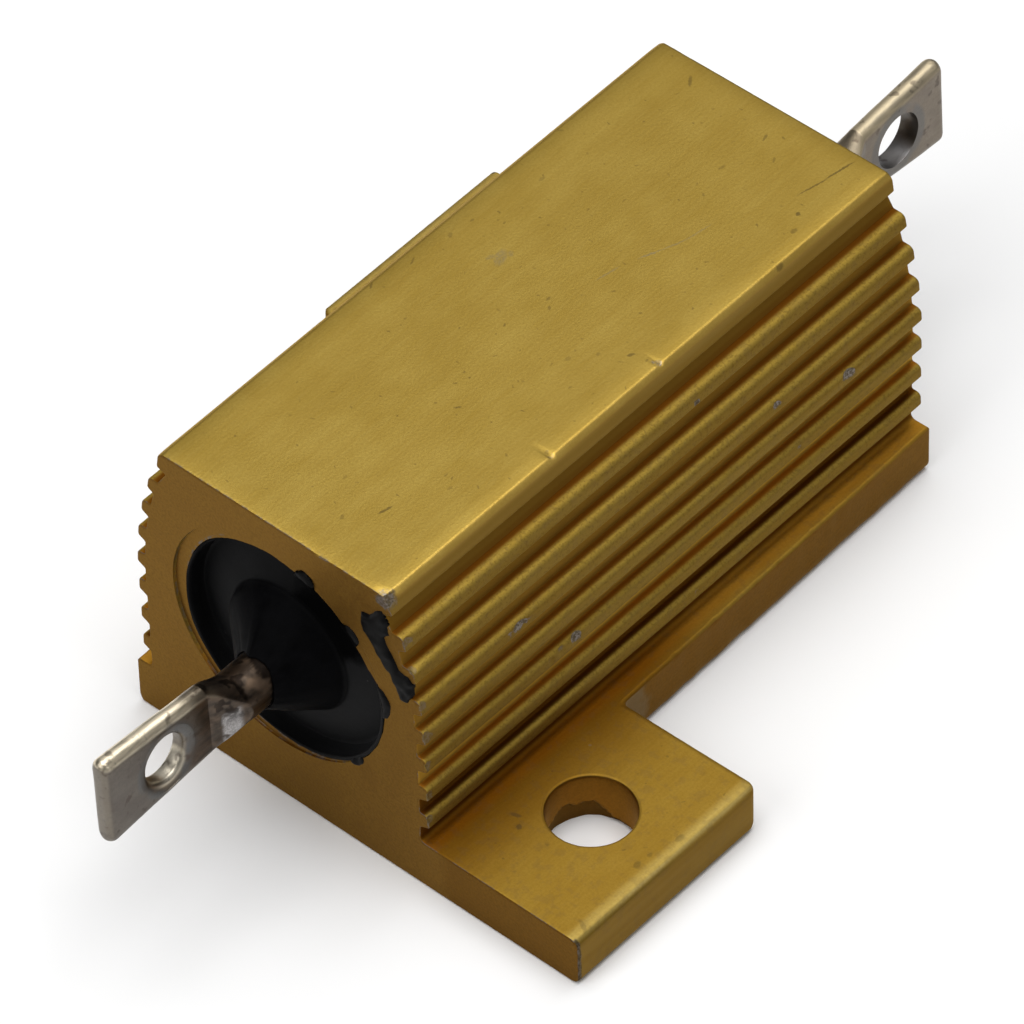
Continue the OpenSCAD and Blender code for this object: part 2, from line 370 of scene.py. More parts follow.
# the extrusion is not perfectly straight: the faintest wander along its length
v = v.copy()
v[:, 1] += 0.012 * vnoise(np.stack([v[:, 0] / 4.0, v[:, 1] * 0 + 3.3, v[:, 2] * 0.6], 1), 5) * (np.abs(v[:, 1]) < 7.2) * (v[:, 2] > 2.4)
ndir = np.stack([np.zeros(len(st) * len(outline)), np.tile(nrm[:, 0], len(st)), np.tile(nrm[:, 1], len(st))], 1)
bare = np.zeros(len(v))
for nx, ny, nz, r, d, el in NICKS:
    q = (v - [nx, ny, nz]) / [r * el, r, r]
    w = np.clip(1 - (q ** 2).sum(1), 0, 1)
    rough = 1 + 0.35 * vnoise(v * 9.0, 11)
    v -= ndir * (w * d * rough)[:, None]
    bare = np.maximum(bare, np.clip(w * 2.2, 0, 1))
housing = make("housing_body", v, f)


def flange_cutter(near, far, seed):
    """Closed solid that removes the flange beyond the -Y tab, with a worn upper edge
    and a rolled lower one."""
    x0 = -HALF + TAB_LEN
    slope = (near - far) / (2 * HALF - TAB_LEN)
    zs = [-0.6, -0.02, 0.0, 0.04, 0.1, 0.18, 0.28, 0.4, 0.55, 0.8, 1.1, 1.4, 1.7, 1.9, 1.97, 2.03, 2.08, 2.12, 2.16, 2.18, 2.195, 2.2, 2.22, 2.9]
    levels = []
    for z in zs:
        lo = 0.34 * (1 - math.sqrt(max(0, 1 - (1 - min(max(z, 0) / 0.45, 1)) ** 2)))
        hi = 0.12 * (1 - math.sqrt(max(0, 1 - (1 - min(max(TAB_T - z, 0) / 0.14, 1)) ** 2)))
        if z < 0: lo = 0.34
        if z > TAB_T: hi = 0.12
        d = lo + hi
        roll = 0.26 * (1 - math.sqrt(max(0, 1 - (1 - min(max(TAB_T - z, 0) / 0.26, 1)) ** 2))) if z <= TAB_T else 0.26
        dt = lo + roll
        c = 0.45                            # outer corner of the tab, rounded
        pts = [(x0 - c - dt, -17.0), (x0 - c - dt, -TAB_Y - 0.3)]
        for a in np.linspace(0, 90, 9):
            pts.append((x0 - c + c * math.sin(math.radians(a)) - dt, -TAB_Y + c * (1 - math.cos(math.radians(a))) + 0.5 * dt * (1 - a / 90)))
        for y in np.linspace(-TAB_Y + 0.9, -near - 0.35, 22):
            pts.append((x0 - dt, y))
        # inner corner
        c = 0.16
        for a in np.linspace(0, 90, 6):
            pts.append((x0 - dt + (c + dt - d) * (1 - math.cos(math.radians(a))), -near + d - c * (1 - math.sin(math.radians(a)))))
        for x in np.concatenate([np.linspace(x0 + 0.3, x0 + 3.2, 30), np.linspace(x0 + 3.35, HALF - 0.6, 76), [HALF - 0.4, HALF - 0.25, HALF + 0.6]]):
            pts.append((x, -(near - slope * (x - x0)) + d))
        pts.append((HALF + 0.6, -17.0))
        levels.append([(x, y, z) for x, y in pts])
    L = np.array(levels)
    n = L.shape[1]
    flat = L.reshape(-1, 3)
    # the wall is not quite flat: drag lines, a ragged break low down, small bites at the top
    wall = np.ones(n, bool); wall[:11] = False; wall[-3:] = False
    wall = np.tile(wall, len(zs))
    z = flat[:, 2]
    amp = 0.012 + 0.012 * smooth01((0.9 - z) / 0.8)
    nz_ = vnoise(np.stack([flat[:, 0] * 2.2, flat[:, 1] * 2.2, z * 0.5], 1), seed) * amp
    bite = np.clip(vnoise(np.stack([flat[:, 0] * 3.1, flat[:, 1] * 3.1, z * 0 + 4.4], 1), seed + 3) - 0.25, 0, 1) * 0.10 * smooth01((z - 1.95) / 0.25)
    along_tab = np.zeros(n, bool); along_tab[11:33] = True
    along_tab = np.tile(along_tab, len(zs))
    flat[:, 0] -= np.where(wall & along_tab, (nz_ + bite) * 0.22, 0)
    flat[:, 1] += np.where(wall & ~along_tab, nz_ + bite, 0)
    return ring_mesh(flat.reshape(L.shape))


def half_turn(vf):
    v, f = vf
    v = v.copy(); v[:, :2] *= -1
    return v, f


FRACTURE = [(0, .12), (15, .2), (22, .38), (31, .65), (39, .88), (51, .82), (60, .71), (68, .89), (77, .95),
            (96, .62), (120, .45), (150, .6), (180, .85), (215, .7), (250, .95), (290, .6), (325, .3), (360, .12)]


def hole_cutter(cx, cy, turn):
    """Punched hole: rolled-in upper edge, a plain cut, then a ragged wider break below."""
    zs = [-0.6, 0.0, 0.12, 0.25, 0.4, 0.55, 0.68, 0.8, 0.9, 1.0, 1.15, 1.4, 1.7, 1.95, 2.05, 2.12, 2.17, 2.2, 2.24, 2.8]
    n = 120
    a = np.arange(n) * 2 * math.pi / n
    fz = np.interp((np.degrees(a) - turn) % 360, *zip(*FRACTURE))
    rings = []
    for z in zs:
        b = smooth01((fz - z) / 0.10 + 0.5)
        pz = np.stack([np.cos(a) * 3.4, np.sin(a) * 3.4, a * 0 + z * 2.2], 1)
        r = HOLE_R + b * (0.115 + 0.035 * vnoise(pz * 1.6, 21) + 0.05 * np.clip((0.5 - z), 0, 1))
        top = 0.11 * (1 - math.sqrt(max(0, 1 - (1 - min(max(TAB_T - z, 0) / 0.13, 1)) ** 2))) if z <= TAB_T else 0.11
        r = r + top + 0.006 * vnoise(np.stack([np.cos(a) * 9, np.sin(a) * 9, a * 0], 1), 8)
        rings.append(np.stack([cx + r * np.cos(a), cy + r * np.sin(a), a * 0 + z], 1))
    return ring_mesh(np.array(rings))


def counter_cutter(side):
    """Shallow counterbore that leans a little, so its step fades out on one side."""
    n = 144
    a = np.arange(n) * 2 * math.pi / n
    rings = []
    for h, dr in ((-0.075, 0.0), (-0.06, 0.01), (0.0, 0.03), (0.9, 0.03)):
        r = 4.95 + dr
        y, z = 0.05 + r * np.cos(a), 7.8 + r * np.sin(a)
        depth = h - (0.012 * y if h < 0 else 0)
        face = 0.015 * y - 0.008 * (z - 7) if side < 0 else 0 * y
        x = -HALF + face - depth
        rings.append(np.stack([x if side < 0 else -x, y if side < 0 else -y + 0.1, z], 1))
    return ring_mesh(np.array(rings))


def mouth_r(phi):
    """Radius of the bore's mouth by angle: sawing has pushed the metal in a little at the top."""
    p = np.degrees(phi) % 360
    return np.interp(p, [0, 14, 24, 35, 47, 61, 71, 83, 92, 100, 115, 131, 145, 156, 163, 170, 290, 312, 340, 360],
                     [4.75, 4.71, 4.70, 4.68, 4.66, 4.58, 4.52, 4.48, 4.44, 4.41, 4.40, 4.38, 4.32, 4.40, 4.60, 4.70, 4.70, 4.77, 4.82, 4.75])


def bore_cutter():
    n = 180
    a = np.arange(n) * 2 * math.pi / n
    jag = 0.018 * vnoise(np.stack([np.cos(a) * 14, np.sin(a) * 14, a * 0 + 2.2], 1), 41) + 0.012 * vnoise(np.stack([np.cos(a) * 34, np.sin(a) * 34, a * 0], 1), 43)
    rings = []
    for side in (-1, 1):
        m = mouth_r(a if side < 0 else math.pi - a) + jag
        m = np.minimum(m, BORE_R + 0.13)
        ring = []
        for d, r in ((-2.0, m), (-0.02, m + 0.02), (0.03, m), (0.10, m), (0.15, np.maximum(m, BORE_R))):
            y, z = AX_Y + r * np.cos(a), AX_Z + r * np.sin(a)
            face = 0.015 * y - 0.008 * (z - 7) if side < 0 else 0 * y
            ring.append(np.stack([side * (HALF - d) + (face if d < 0.15 else 0 * a), y, z], 1))
        rings += ring if side < 0 else ring[::-1]
    return ring_mesh(np.array(rings))


cut(housing,
    make("c1", *flange_cutter(7.55, 7.22, 31)),
    make("c2", *half_turn(flange_cutter(7.5, 7.1, 47))),
    make("c3", *hole_cutter(-HOLE_X, -HOLE_Y, 0)),
    make("c4", *hole_cutter(HOLE_X, HOLE_Y, 140)),
    make("c5", *bore_cutter()),
    make("c6", *counter_cutter(-1)), make("c7", *counter_cutter(1)))


def crisp(ob):
    """Keeps the flat faces flat right up to a hole or a sheared edge."""
    bm = bmesh.new()
    bm.from_mesh(ob.data)
    for e in bm.edges:
        if len(e.link_faces) != 2:
            continue
        m = (e.verts[0].co + e.verts[1].co) * 500
        hole = any(abs(math.hypot(m.x - sx * HOLE_X, m.y - sx * HOLE_Y) - HOLE_R) < 0.3 for sx in (-1, 1))
        shear = abs(m.x) < 13.3 and 6.95 < abs(m.y) < 7.8 or abs(m.y) > 7.4 and abs(abs(m.x) - HALF + TAB_LEN) < 0.45 and m.x * m.y > 0
        bore = abs(m.x) > 13.2 and math.hypot(m.y - AX_Y, m.z - AX_Z) < 5.3
        if not (hole and m.z > 2.1 or shear and m.z < 2.3 or bore):
            continue
        flat = [f for f in e.link_faces if abs(f.normal.z) > 0.9995 or abs(f.normal.x) > 0.995]
        if len(flat) == 1 and e.calc_face_angle(0) > math.radians(3):
            e.smooth = False
    bm.to_mesh(ob.data)
    bm.free()


tidy(housing, 33)
crisp(housing)

# How bare the metal is at each point, from the dents above
me = housing.data
co = np.zeros(len(me.vertices) * 3); me.vertices.foreach_get("co", co); co = co.reshape(-1, 3) * 1000
bare = np.zeros(len(co))
for nx, ny, nz, r, d, el in NICKS:
    q = (co - [nx, ny, nz]) / [r * el * 1.15, r * 1.15, r * 1.15]
    bare = np.maximum(bare, np.clip((1 - (q ** 2).sum(1)) * 2.0, 0, 1) * (0.5 if d < 0.065 else 1.0))
at = me.attributes.new("bare", "FLOAT", "POINT")
at.data.foreach_set("value", bare.astype(np.float32))


def scratch(p, q, width, w=1.0, pale=0.0):
    """A straight mark on the top between two (x, y) points."""
    dx, dy = q[0] - p[0], q[1] - p[1]
    return (0.5 * (p[0] + q[0]), 0.5 * (p[1] + q[1]), 0.5 * math.hypot(dx, dy), width, math.degrees(math.atan2(dy, dx)), w, pale)


# Marks on the flat top: x, y, half length, half width, turn, strength, 0 dark to 1 pale grey
TOP_MARKS = [(-10.51, -2.54, 0.30, 0.05, -14, 0.95, 0), (-11.72, -1.61, 0.13, 0.08, 20, 0.5, 0),
             (-5.18, -1.2, 0.15, 0.05, -40, 0.85, 0), (-0.91, -2.6, 0.13, 0.10, 0, 0.35, 0),
             (-0.07, -3.25, 0.10, 0.08, 0, 0.4, 0), (0.63, -4.16, 0.16, 0.07, -35, 0.8, 0),
             (0.8, -4.76, 0.10, 0.05, 0, 0.5, 0), (7.38, -5.3, 0.2, 0.10, 10, 0.8, 0),
             (9.01, -4.59, 0.16, 0.10, 0, 0.6, 0), (9.76, -4.16, 0.10, 0.08, 0, 1.0, 0),
             (1.08, 4.61, 0.14, 0.08, 30, 0.45, 0), (5.32, 3.97, 0.15, 0.08, 0, 0.4, 0),
             (11.99, -0.77, 0.20, 0.05, 15, 0.7, 0), (9.84, -0.57, 0.17, 0.06, -10, 0.5, 0),
             (11.31, -1.75, 0.14, 0.05, 30, 0.5, 0), (12.5, 3.16, 0.28, 0.07, 35, 0.7, 0),
             (0.89, -0.13, 0.12, 0.06, 0, 0.6, 0), (0.57, -0.46, 0.10, 0.06, 45, 0.6, 0),
             (2.16, 4.5, 0.09, 0.06, 0, 0.5, 0), (-8.29, -3.56, 0.12, 0.07, 0, 0.35, 0),
             (-7.9, -3.04, 0.11, 0.05, 0, 0.4, 0), (-10.21, -0.42, 0.10, 0.06, 0, 0.35, 0),
             (-4.82, -4.98, 0.10, 0.07, 60, 0.6, 0),
             scratch((10.45, -3.53), (11.8, -3.82), 0.04, 0.85), scratch((11.7, -3.76), (13.06, -4.0), 0.045, 0.95),
             scratch((-2.75, 5.0), (-2.45, 5.17), 0.045, 0.7), scratch((-0.95, 4.7), (-0.55, 4.85), 0.045, 0.6),
             scratch((4.42, -1.25), (5.3, -1.62), 0.045, 0.8, 1), scratch((5.2, -1.58), (6.3, -1.98), 0.04, 0.6, 1),
             scratch((6.2, -1.95), (7.45, -2.15), 0.04, 0.45, 1), scratch((2.67, -0.82), (3.68, -1.01), 0.045, 0.6, 1),
             (1.37, 2.5, 0.42, 0.22, 25, 0.6, 0.8), (1.15, 2.8, 0.2, 0.1, -20, 0.5, 0.8), (1.75, 2.35, 0.16, 0.1, 40, 0.5, 0.8)]
TAB_MARKS = [(-9.53, -12.94, 0.18, 0.13, 20, 0.55, 0), (-8.89, -12.98, 0.14, 0.08, 0, 0.45, 0),
             (-7.61, -13.27, 0.22, 0.12, 0, 0.5, 0), (-10.82, -8.61, 0.14, 0.10, 40, 0.85, 0),
             (-10.46, -8.16, 0.22, 0.09, 110, 0.75, 0), (-12.9, -13.35, 0.3, 0.1, 60, 0.4, 0),
             (-6.27, -7.98, 0.06, 0.06, 0, 0.6, 1)]
rng = np.random.default_rng(7)
for k in range(150):            # scattered fine specks, thicker towards the rear
    x = -HALF + 2 * HALF * rng.random() ** 0.75
    TOP_MARKS.append((x, rng.uniform(-5.1, 5.1), rng.uniform(0.03, 0.10), rng.uniform(0.025, 0.05), rng.uniform(0, 180), rng.uniform(0.25, 0.65), 0))
for k in range(26):
    TAB_MARKS.append((rng.uniform(-13, -4.6), rng.uniform(-13.3, -7.5), rng.uniform(0.03, 0.09), rng.uniform(0.025, 0.05), rng.uniform(0, 180), rng.uniform(0.25, 0.6), 0))
    TAB_MARKS.append((rng.uniform(4.6, 13), rng.uniform(7.5, 13.3), rng.uniform(0.03, 0.12), rng.uniform(0.025, 0.06), rng.uniform(0, 180), rng.uniform(0.25, 0.6), 0))


def write_marks(me, groups):
    """Stores on every face the two marks that lie nearest to it, for the finish to draw."""
    n = len(me.polygons)
    cen = np.zeros(n * 3); me.polygons.foreach_get("center", cen); cen = cen.reshape(-1, 3) * 1000
    nor = np.zeros(n * 3); me.polygons.foreach_get("normal", nor); nor = nor.reshape(-1, 3)
    ls = np.zeros(n, np.int64); lt = np.zeros(n, np.int64)
    me.polygons.foreach_get("loop_start", ls); me.polygons.foreach_get("loop_total", lt)
    lv = np.zeros(len(me.loops), np.int64); me.loops.foreach_get("vertex_index", lv)
    d = np.linalg.norm(co[lv] - np.repeat(cen, lt, 0), axis=1)
    rad = np.maximum.reduceat(d, ls)
    best = np.full((n, 2), 1e9)
    A = np.zeros((2, n, 3)); B = np.zeros((2, n, 3)); C = np.zeros((2, n, 3))
    B[..., 0] = 1; B[..., 2] = 1
    for z, marks in groups:
        on = np.where((np.abs(cen[:, 2] - z) < 0.4) & (nor[:, 2] > 0.55))[0]
        for x, y, a, b, t, w, pale in marks:
            dist = np.hypot(cen[on, 0] - x, cen[on, 1] - y)
            near = on[dist < rad[on] + 1.4 * max(a, b) + 0.08]
            dist = np.hypot(cen[near, 0] - x, cen[near, 1] - y) - max(a, b)
            t = math.radians(t)
            for slot_ in (0, 1):
                hit = near[dist < best[near, slot_]]
                if slot_ == 0:      # move the former nearest mark to the second place
                    best[hit, 1] = best[hit, 0]; A[1, hit] = A[0, hit]; B[1, hit] = B[0, hit]; C[1, hit] = C[0, hit]
                best[hit, slot_] = dist[np.isin(near, hit)]
                A[slot_, hit] = (x, y, z)
                B[slot_, hit] = (math.cos(t) / a, math.sin(t) / a, a / b)
                C[slot_, hit] = (w, pale, 0)
                keep = ~np.isin(near, hit)
                near, dist = near[keep], dist[keep]
    for k in (0, 1):
        for nm, arr in (("a", A), ("b", B), ("c", C)):
            at = me.attributes.new("mark_%s%d" % (nm, k), "FLOAT_VECTOR", "FACE")
            at.data.foreach_set("vector", arr[k].astype(np.float32).ravel())


write_marks(me, [(TOP, TOP_MARKS), (TAB_T, TAB_MARKS)])

# ---------------------------------------------------------------- moulding

def lip_level(phi):
    """Depth of the lip's top below the sawn face, by angle round the bore (0 is +Y, 90 is up)."""
    p = np.degrees(phi) % 360
    return np.interp(p, [0, 30, 50, 62, 80, 120, 150, 158, 165, 190, 215, 235, 262, 300, 340, 360],
                     [0.05, 0.08, 0.13, 0.20, 0.24, 0.24, 0.20, 0.08, -0.02, -0.03, -0.02, 0.0, 0.03, 0.03, 0.03, 0.05])


def tip_back(phi):
    """How far short of the boss's full height the rubber ends on the lead, by angle."""
    p = np.degrees(phi) % 360
    return np.interp(p, [0, 33, 60, 77, 90, 111, 139, 168, 200, 270, 320, 360],
                     [0.42, 0.52, 0.36, 0.22, 0.30, 0.36, 0.27, 0.06, 0.02, 0.0, 0.20, 0.42])


def lead_shift(x):
    """The lead sits a little low and to one side where it leaves the rubber."""
    ax = np.abs(np.asarray(x, float))
    k = smooth01((ax - 13.2) / 1.4) * (1 - smooth01((ax - 16.0) / 1.7))
    return -0.12 * k, -0.09 * k


def moulding_mesh():
    n = 144
    phi = np.arange(n) * 2 * math.pi / n
    g = 0.02
    cap_x, cap_r = 9.52, 2.67
    z0 = np.zeros(n)

    def end(side):
        seed = 3 if side < 0 else 9
        ring = lambda s, k=0: vnoise(np.stack([np.cos(phi) * s, np.sin(phi) * s, phi * 0 + k], 1), seed)
        ph = phi if side < 0 else math.pi - phi
        lip = lip_level(ph) + 0.02 * ring(5.0, 1)
        tip = BOSS_TIP - 0.02 - tip_back(ph) + 0.03 * ring(2.2, 2) + 0.03 * ring(6.0, 3)
        tip = np.minimum(tip, BOSS_TIP - 0.02)
        wide = np.maximum(mouth_r(ph) - 0.015, 4.675)
        boss = 1 + 0.006 * ring(1.6, 4)
        bulge = 0.22 * np.exp(-((np.degrees(ph) % 360 - 30) / 28.0) ** 2)
        rows = [(1.02 + z0, -tip + 0.05), (1.035 + z0, -tip), (1.07 + 0.02 * ring(4, 6), -tip - 0.015), (1.12 + 0.02 * ring(4, 6), -tip + 0.03)]
        for t in (0.07, 0.16, 0.27, 0.38, 0.5, 0.62, 0.74, 0.85, 0.94, 1.0):
            r = 1.13 + (2.66 - 1.13) * t + 0.07 * math.sin(t * math.pi) + bulge * math.exp(-((t - 0.72) / 0.22) ** 2)
            x = (-tip + 0.06) * (1 - t) + 0.17 * t
            rows.append((r * boss + 0.008 * ring(3.1, 7 + t), x + 0.012 * ring(3.1, 17 + t)))
        rows += [(2.715 * boss, 0.225 + z0), (2.735 * boss, 0.28 + z0), (2.75 * boss, 0.325 + z0), (2.80 * boss, 0.355 + z0)]
        for r in (2.95, 3.2, 3.5, 3.8, 4.1, 4.3):
            rows.append((r + z0, 0.36 + 0.39 * (r - 2.8) / 1.6 + 0.010 * ring(2.5, r)))
        rows += [(4.40 + z0, 0.735 + z0), (4.46 + z0, 0.71 + z0), (4.495 + z0, 0.62 + z0), (4.51 + z0, 0.45 + 0.3 * lip),
                 (4.53 + z0, lip + 0.09), (4.56 + z0, lip + 0.03), (4.61 + z0, lip + z0), (wide - 0.03, lip + z0), (wide, lip + 0.02), (wide, 0.125 + z0), (4.675 + z0, 0.14 + z0)]
        out = []
        for r, x in rows:
            xx = -HALF + (0.015 * (r * np.cos(phi)) - 0.008 * (r * np.sin(phi)) if side < 0 else 0) + x
            sy, sz = lead_shift(xx)
            k = np.clip((2.6 - r) / 1.4, 0, 1)
            out.append(np.stack([xx, AX_Y + r * np.cos(phi) + sy * k, AX_Z + r * np.sin(phi) + sz * k], 1))
        out = np.array(out)
        if side > 0:
            out[..., 0] *= -1
        return out

    f, b = end(-1), end(1)
    circ = lambda x, r: np.stack([x + z0, AX_Y + r * np.cos(phi), AX_Z + r * np.sin(phi)], 1)
    hole = lambda x: circ(x, 1.02) + [0, *lead_shift(x)]
    mid = [circ(x, 4.68) for x in (-12.6, -6, 0, 6, 12.6)]
    inner = [circ(x, r) for x, r in ((12.0, 1.02), (cap_x + 0.39, 1.02), (cap_x + 0.39, cap_r + g), (0, cap_r + g),
                                    (-cap_x - 0.39, cap_r + g), (-cap_x - 0.39, 1.02), (-12.0, 1.02))]
    inner = [hole(x) for x in (14.6, 14.2, 13.8, 13.4)] + inner + [hole(-x) for x in (13.4, 13.8, 14.2, 14.6)]
    rings = np.concatenate([f, np.array(mid), b[::-1], np.array(inner)])
    return torus_mesh(rings)


moulding = make("end_moulding", *moulding_mesh())
tidy(moulding, 42, weighted=False)


# ---------------------------------------------------------------- lugs

def section(a, b, round_, n):
    """Wire pressed between two flats a from the middle: its free edges bulge to b.
    round_ runs from 0, a clipped circle, to 1, fully round long edges."""
    t = (np.arange(n) + 0.5) * 2 * math.pi / n
    full = np.stack([np.cos(t), b * np.sin(t)], 1)
    y = np.clip(full[:, 0], -a, a)
    clipped = np.stack([y, full[:, 1]], 1)
    # round-edged bar: points keep their height, thickness follows a half circle near the edge
    z = clipped[:, 1]
    over = np.clip((np.abs(z) - (b - a)) / max(a, 1e-6), 0, 1)
    bar_y = np.sign(full[:, 0]) * a * np.sqrt(np.maximum(0, 1 - over ** 2))
    bar = np.stack([bar_y, z], 1)
    return clipped * (1 - round_) + bar * round_


def lug_mesh(side):
    n = 96
    front = side < 0
    tip = abs(FRONT_TIP if front else REAR_TIP)
    rise = 0.0 if front else R_HOLE[2] - F_HOLE[2]
    xp, xb = 16.35, 17.8
    xs = np.concatenate([[9.9, 11, 12.5, 13.2, 13.4, 13.6, 13.8, 14, 14.2, 14.4, 14.7, 15.0, 15.3, 15.6, 15.9, 16.1, 16.2, 16.3],
                         np.linspace(xp, xb - 0.06, 26), [xb - 0.03, xb, xb + 0.03, xb + 0.08, xb + 0.15, xb + 0.25],
                         np.linspace(xb + 0.4, tip - 0.3, 44),
                         tip - 0.30 * (1 - np.sin(np.radians([12, 24, 36, 48, 60, 70, 80, 90])))])
    rings = []
    a_bl = 0.40 if front else 0.415
    for x in xs:
        k = float(np.clip((x - xp) / (xb - xp), 0, 1))
        a = 1.0 + (a_bl - 1.0) * k
        b = 1.0 + (1.6 - 1.0) * (k ** 1.35) if x < xb else 1.6 + (1.95 - 1.6) * (x - xb) / (tip - 0.4 - xb)
        b = min(b, 1.95)
        rd = float(smooth01((x - xb + 0.75) / 0.8))
        s = section(a, b, rd, n)
        e = max(0.0, (x - (tip - 0.30)) / 0.30)
        if e > 0:                       # rounded end face
            sh = 0.30 * (1 - math.sqrt(max(0, 1 - e * e)))
            s[:, 0] *= max(0.03, (a - sh)) / a
            s[:, 1] *= (b - sh) / b
        yy, zz = s[:, 0], s[:, 1]
        p = np.stack([np.full(n, -x), yy, zz + rise * k], 1)
        rings.append(p)
    R = np.array(rings)
    # tiny unevenness of pressed metal
    flat = R.reshape(-1, 3)
    w = smooth01((np.abs(flat[:, 0]) - 15.5) / 1.5)
    flat[:, 1] += 0.012 * vnoise(np.stack([flat[:, 0] * 1.1, flat[:, 1] * 0.2, flat[:, 2] * 1.1], 1), 61 + (0 if front else 7)) * w
    if not front:
        flat[:, 0] *= -1
    # twist about the lead, blended in over the pressed part
    tw = math.radians(-2.2) * smooth01((np.abs(flat[:, 0]) - 14.5) / 2.5)
    if not front:
        tw = -tw * -1.0
    y, z = flat[:, 1].copy(), flat[:, 2] - rise * smooth01((np.abs(flat[:, 0]) - xp) / (xb - xp))
    r_ = rise * smooth01((np.abs(flat[:, 0]) - xp) / (xb - xp))
    sy, sz = lead_shift(flat[:, 0])
    flat[:, 1] = AX_Y + sy + y * np.cos(tw) - z * np.sin(tw)
    flat[:, 2] = AX_Z + sz + r_ + y * np.sin(tw) + z * np.cos(tw)
    return ring_mesh(flat.reshape(R.shape))


def lug_hole(side):
    """Cutter for the hole in a blade: flared at both faces in front, plain behind."""
    c = F_HOLE if side < 0 else R_HOLE
    tw = math.radians(-2.2)
    if side < 0:
        prof = [(2.0, -1.2), (1.62, -0.52)] + [(0.97 + 0.43 * (1 - math.sqrt(max(0, 1 - (h / 0.215) ** 2))), -0.185 - h)
                                              for h in (0.215, 0.19, 0.15, 0.1, 0.05, 0.0)]
        prof = prof + [(r, -h) for r, h in prof[::-1]]
        prof[1] = (1.45, -0.52); prof[-2] = (1.45, 0.52)
    else:
        prof = [(1.3, -1.0), (1.16, -0.46), (1.12, -0.38), (1.12, 0.38), (1.16, 0.46), (1.3, 1.0)]
    v, f = lathe(prof, 96, (0, 0, 0), "y")
    y, z = v[:, 1].copy(), v[:, 2].copy()
    v = v.copy()
    v[:, 0] += c[0]
    v[:, 1] = c[1] + y * math.cos(tw) - z * math.sin(tw)
    v[:, 2] = c[2] + y * math.sin(tw) + z * math.cos(tw)
    return v, f


lugs = []
for side, name in ((-1, "front_lug_blade"), (1, "rear_lug_blade")):
    lug = make(name, *lug_mesh(side))
    cut(lug, make("c", *lug_hole(side)))
    tidy(lug, 38, weighted=False)
    lugs.append(lug)
front_lug, rear_lug = lugs

# ---------------------------------------------------------------- silicone smears on the front face

def poly_dist(p, poly):
    """Distance inside a polygon, negative outside."""
    poly = np.array(poly, float)
    a, b = poly, np.roll(poly, -1, 0)
    d = np.full(len(p), 1e9)
    inside = np.zeros(len(p), bool)
    for (ax, ay), (bx, by) in zip(a, b):
        e = np.array([bx - ax, by - ay])
        w = p - [ax, ay]
        t = np.clip((w @ e) / (e @ e + 1e-12), 0, 1)
        d = np.minimum(d, np.linalg.norm(w - t[:, None] * e, axis=1))
        c = ((ay > p[:, 1]) != (by > p[:, 1])) & (p[:, 0] < (bx - ax) * (p[:, 1] - ay) / (by - ay + 1e-12) + ax)
        inside ^= c
    return np.where(inside, d, -d)


def blob(poly, height, step=0.05, seed=1, edge=0.1, keep=None):
    """Closed low mound on the front face over a polygon in (y, z)."""
    poly = np.array(poly)
    lo, hi = poly.min(0) - 0.15, poly.max(0) + 0.15
    ny, nz = int((hi[0] - lo[0]) / step) + 1, int((hi[1] - lo[1]) / step) + 1
    Y, Z = np.meshgrid(lo[0] + np.arange(ny) * step, lo[1] + np.arange(nz) * step, indexing="ij")
    p = np.stack([Y.ravel(), Z.ravel()], 1)
    jit = 0.035 * vnoise(np.stack([p[:, 0] * 5, p[:, 1] * 5, p[:, 0] * 0], 1), seed)
    d = poly_dist(p, poly) + jit
    h = np.where(d > 0, height * (1 - np.exp(-np.maximum(d, 0) / edge)), d * 1.2)
    h += np.where(d > 0, 0.25 * height * vnoise(np.stack([p[:, 0] * 3, p[:, 1] * 3, p[:, 0] * 0 + 7], 1), seed + 1), 0)
    h = np.maximum(h, -0.06)
    if keep is not None:
        d = np.minimum(d, keep(p))
    D = d.reshape(ny, nz); Hh = h.reshape(ny, nz)
    ok = (D[:-1, :-1] > -0.045) & (D[1:, :-1] > -0.045) & (D[:-1, 1:] > -0.045) & (D[1:, 1:] > -0.045)
    face_x = lambda y, z: -HALF + 0.015 * y - 0.008 * (z - 7)
    verts, faces, idx = [], [], {}

    def vid(i, j, layer):
        key = (i, j, layer)
        if key not in idx:
            y, z = Y[i, j], Z[i, j]
            x = face_x(y, z) - (Hh[i, j] if layer == 0 else -0.09)
            idx[key] = len(verts)
            verts.append((x, y, z))
        return idx[key]

    for i in range(ny - 1):
        for j in range(nz - 1):
            if not ok[i, j]:
                continue
            c = [(i, j), (i + 1, j), (i + 1, j + 1), (i, j + 1)]
            faces.append([vid(*q, 0) for q in c][::-1])
            faces.append([vid(*q, 1) for q in c])
            for (a, b), (di, dj) in (((c[0], c[1]), (0, -1)), ((c[1], c[2]), (1, 0)), ((c[2], c[3]), (0, 1)), ((c[3], c[0]), (-1, 0))):
                ii, jj = i + di, j + dj
                if 0 <= ii < ny - 1 and 0 <= jj < nz - 1 and ok[ii, jj]:
                    continue
                faces.append([vid(*a, 0), vid(*b, 0), vid(*b, 1), vid(*a, 1)])
    return np.array(verts), faces


SMEAR = [(-4.09, 12.41), (-4.51, 12.50), (-4.72, 12.85), (-5.08, 13.06), (-5.29, 12.62), (-5.41, 12.04), (-5.17, 11.79),
         (-5.27, 11.44), (-5.52, 11.03), (-5.77, 10.57), (-6.2, 10.5), (-6.40, 10.28), (-6.38, 9.73), (-6.14, 9.14),
         (-5.83, 9.13), (-5.58, 9.55), (-5.29, 10.11), (-4.96, 10.46), (-4.63, 10.91), (-4.45, 11.20), (-4.12, 11.47), (-4.06, 11.85)]


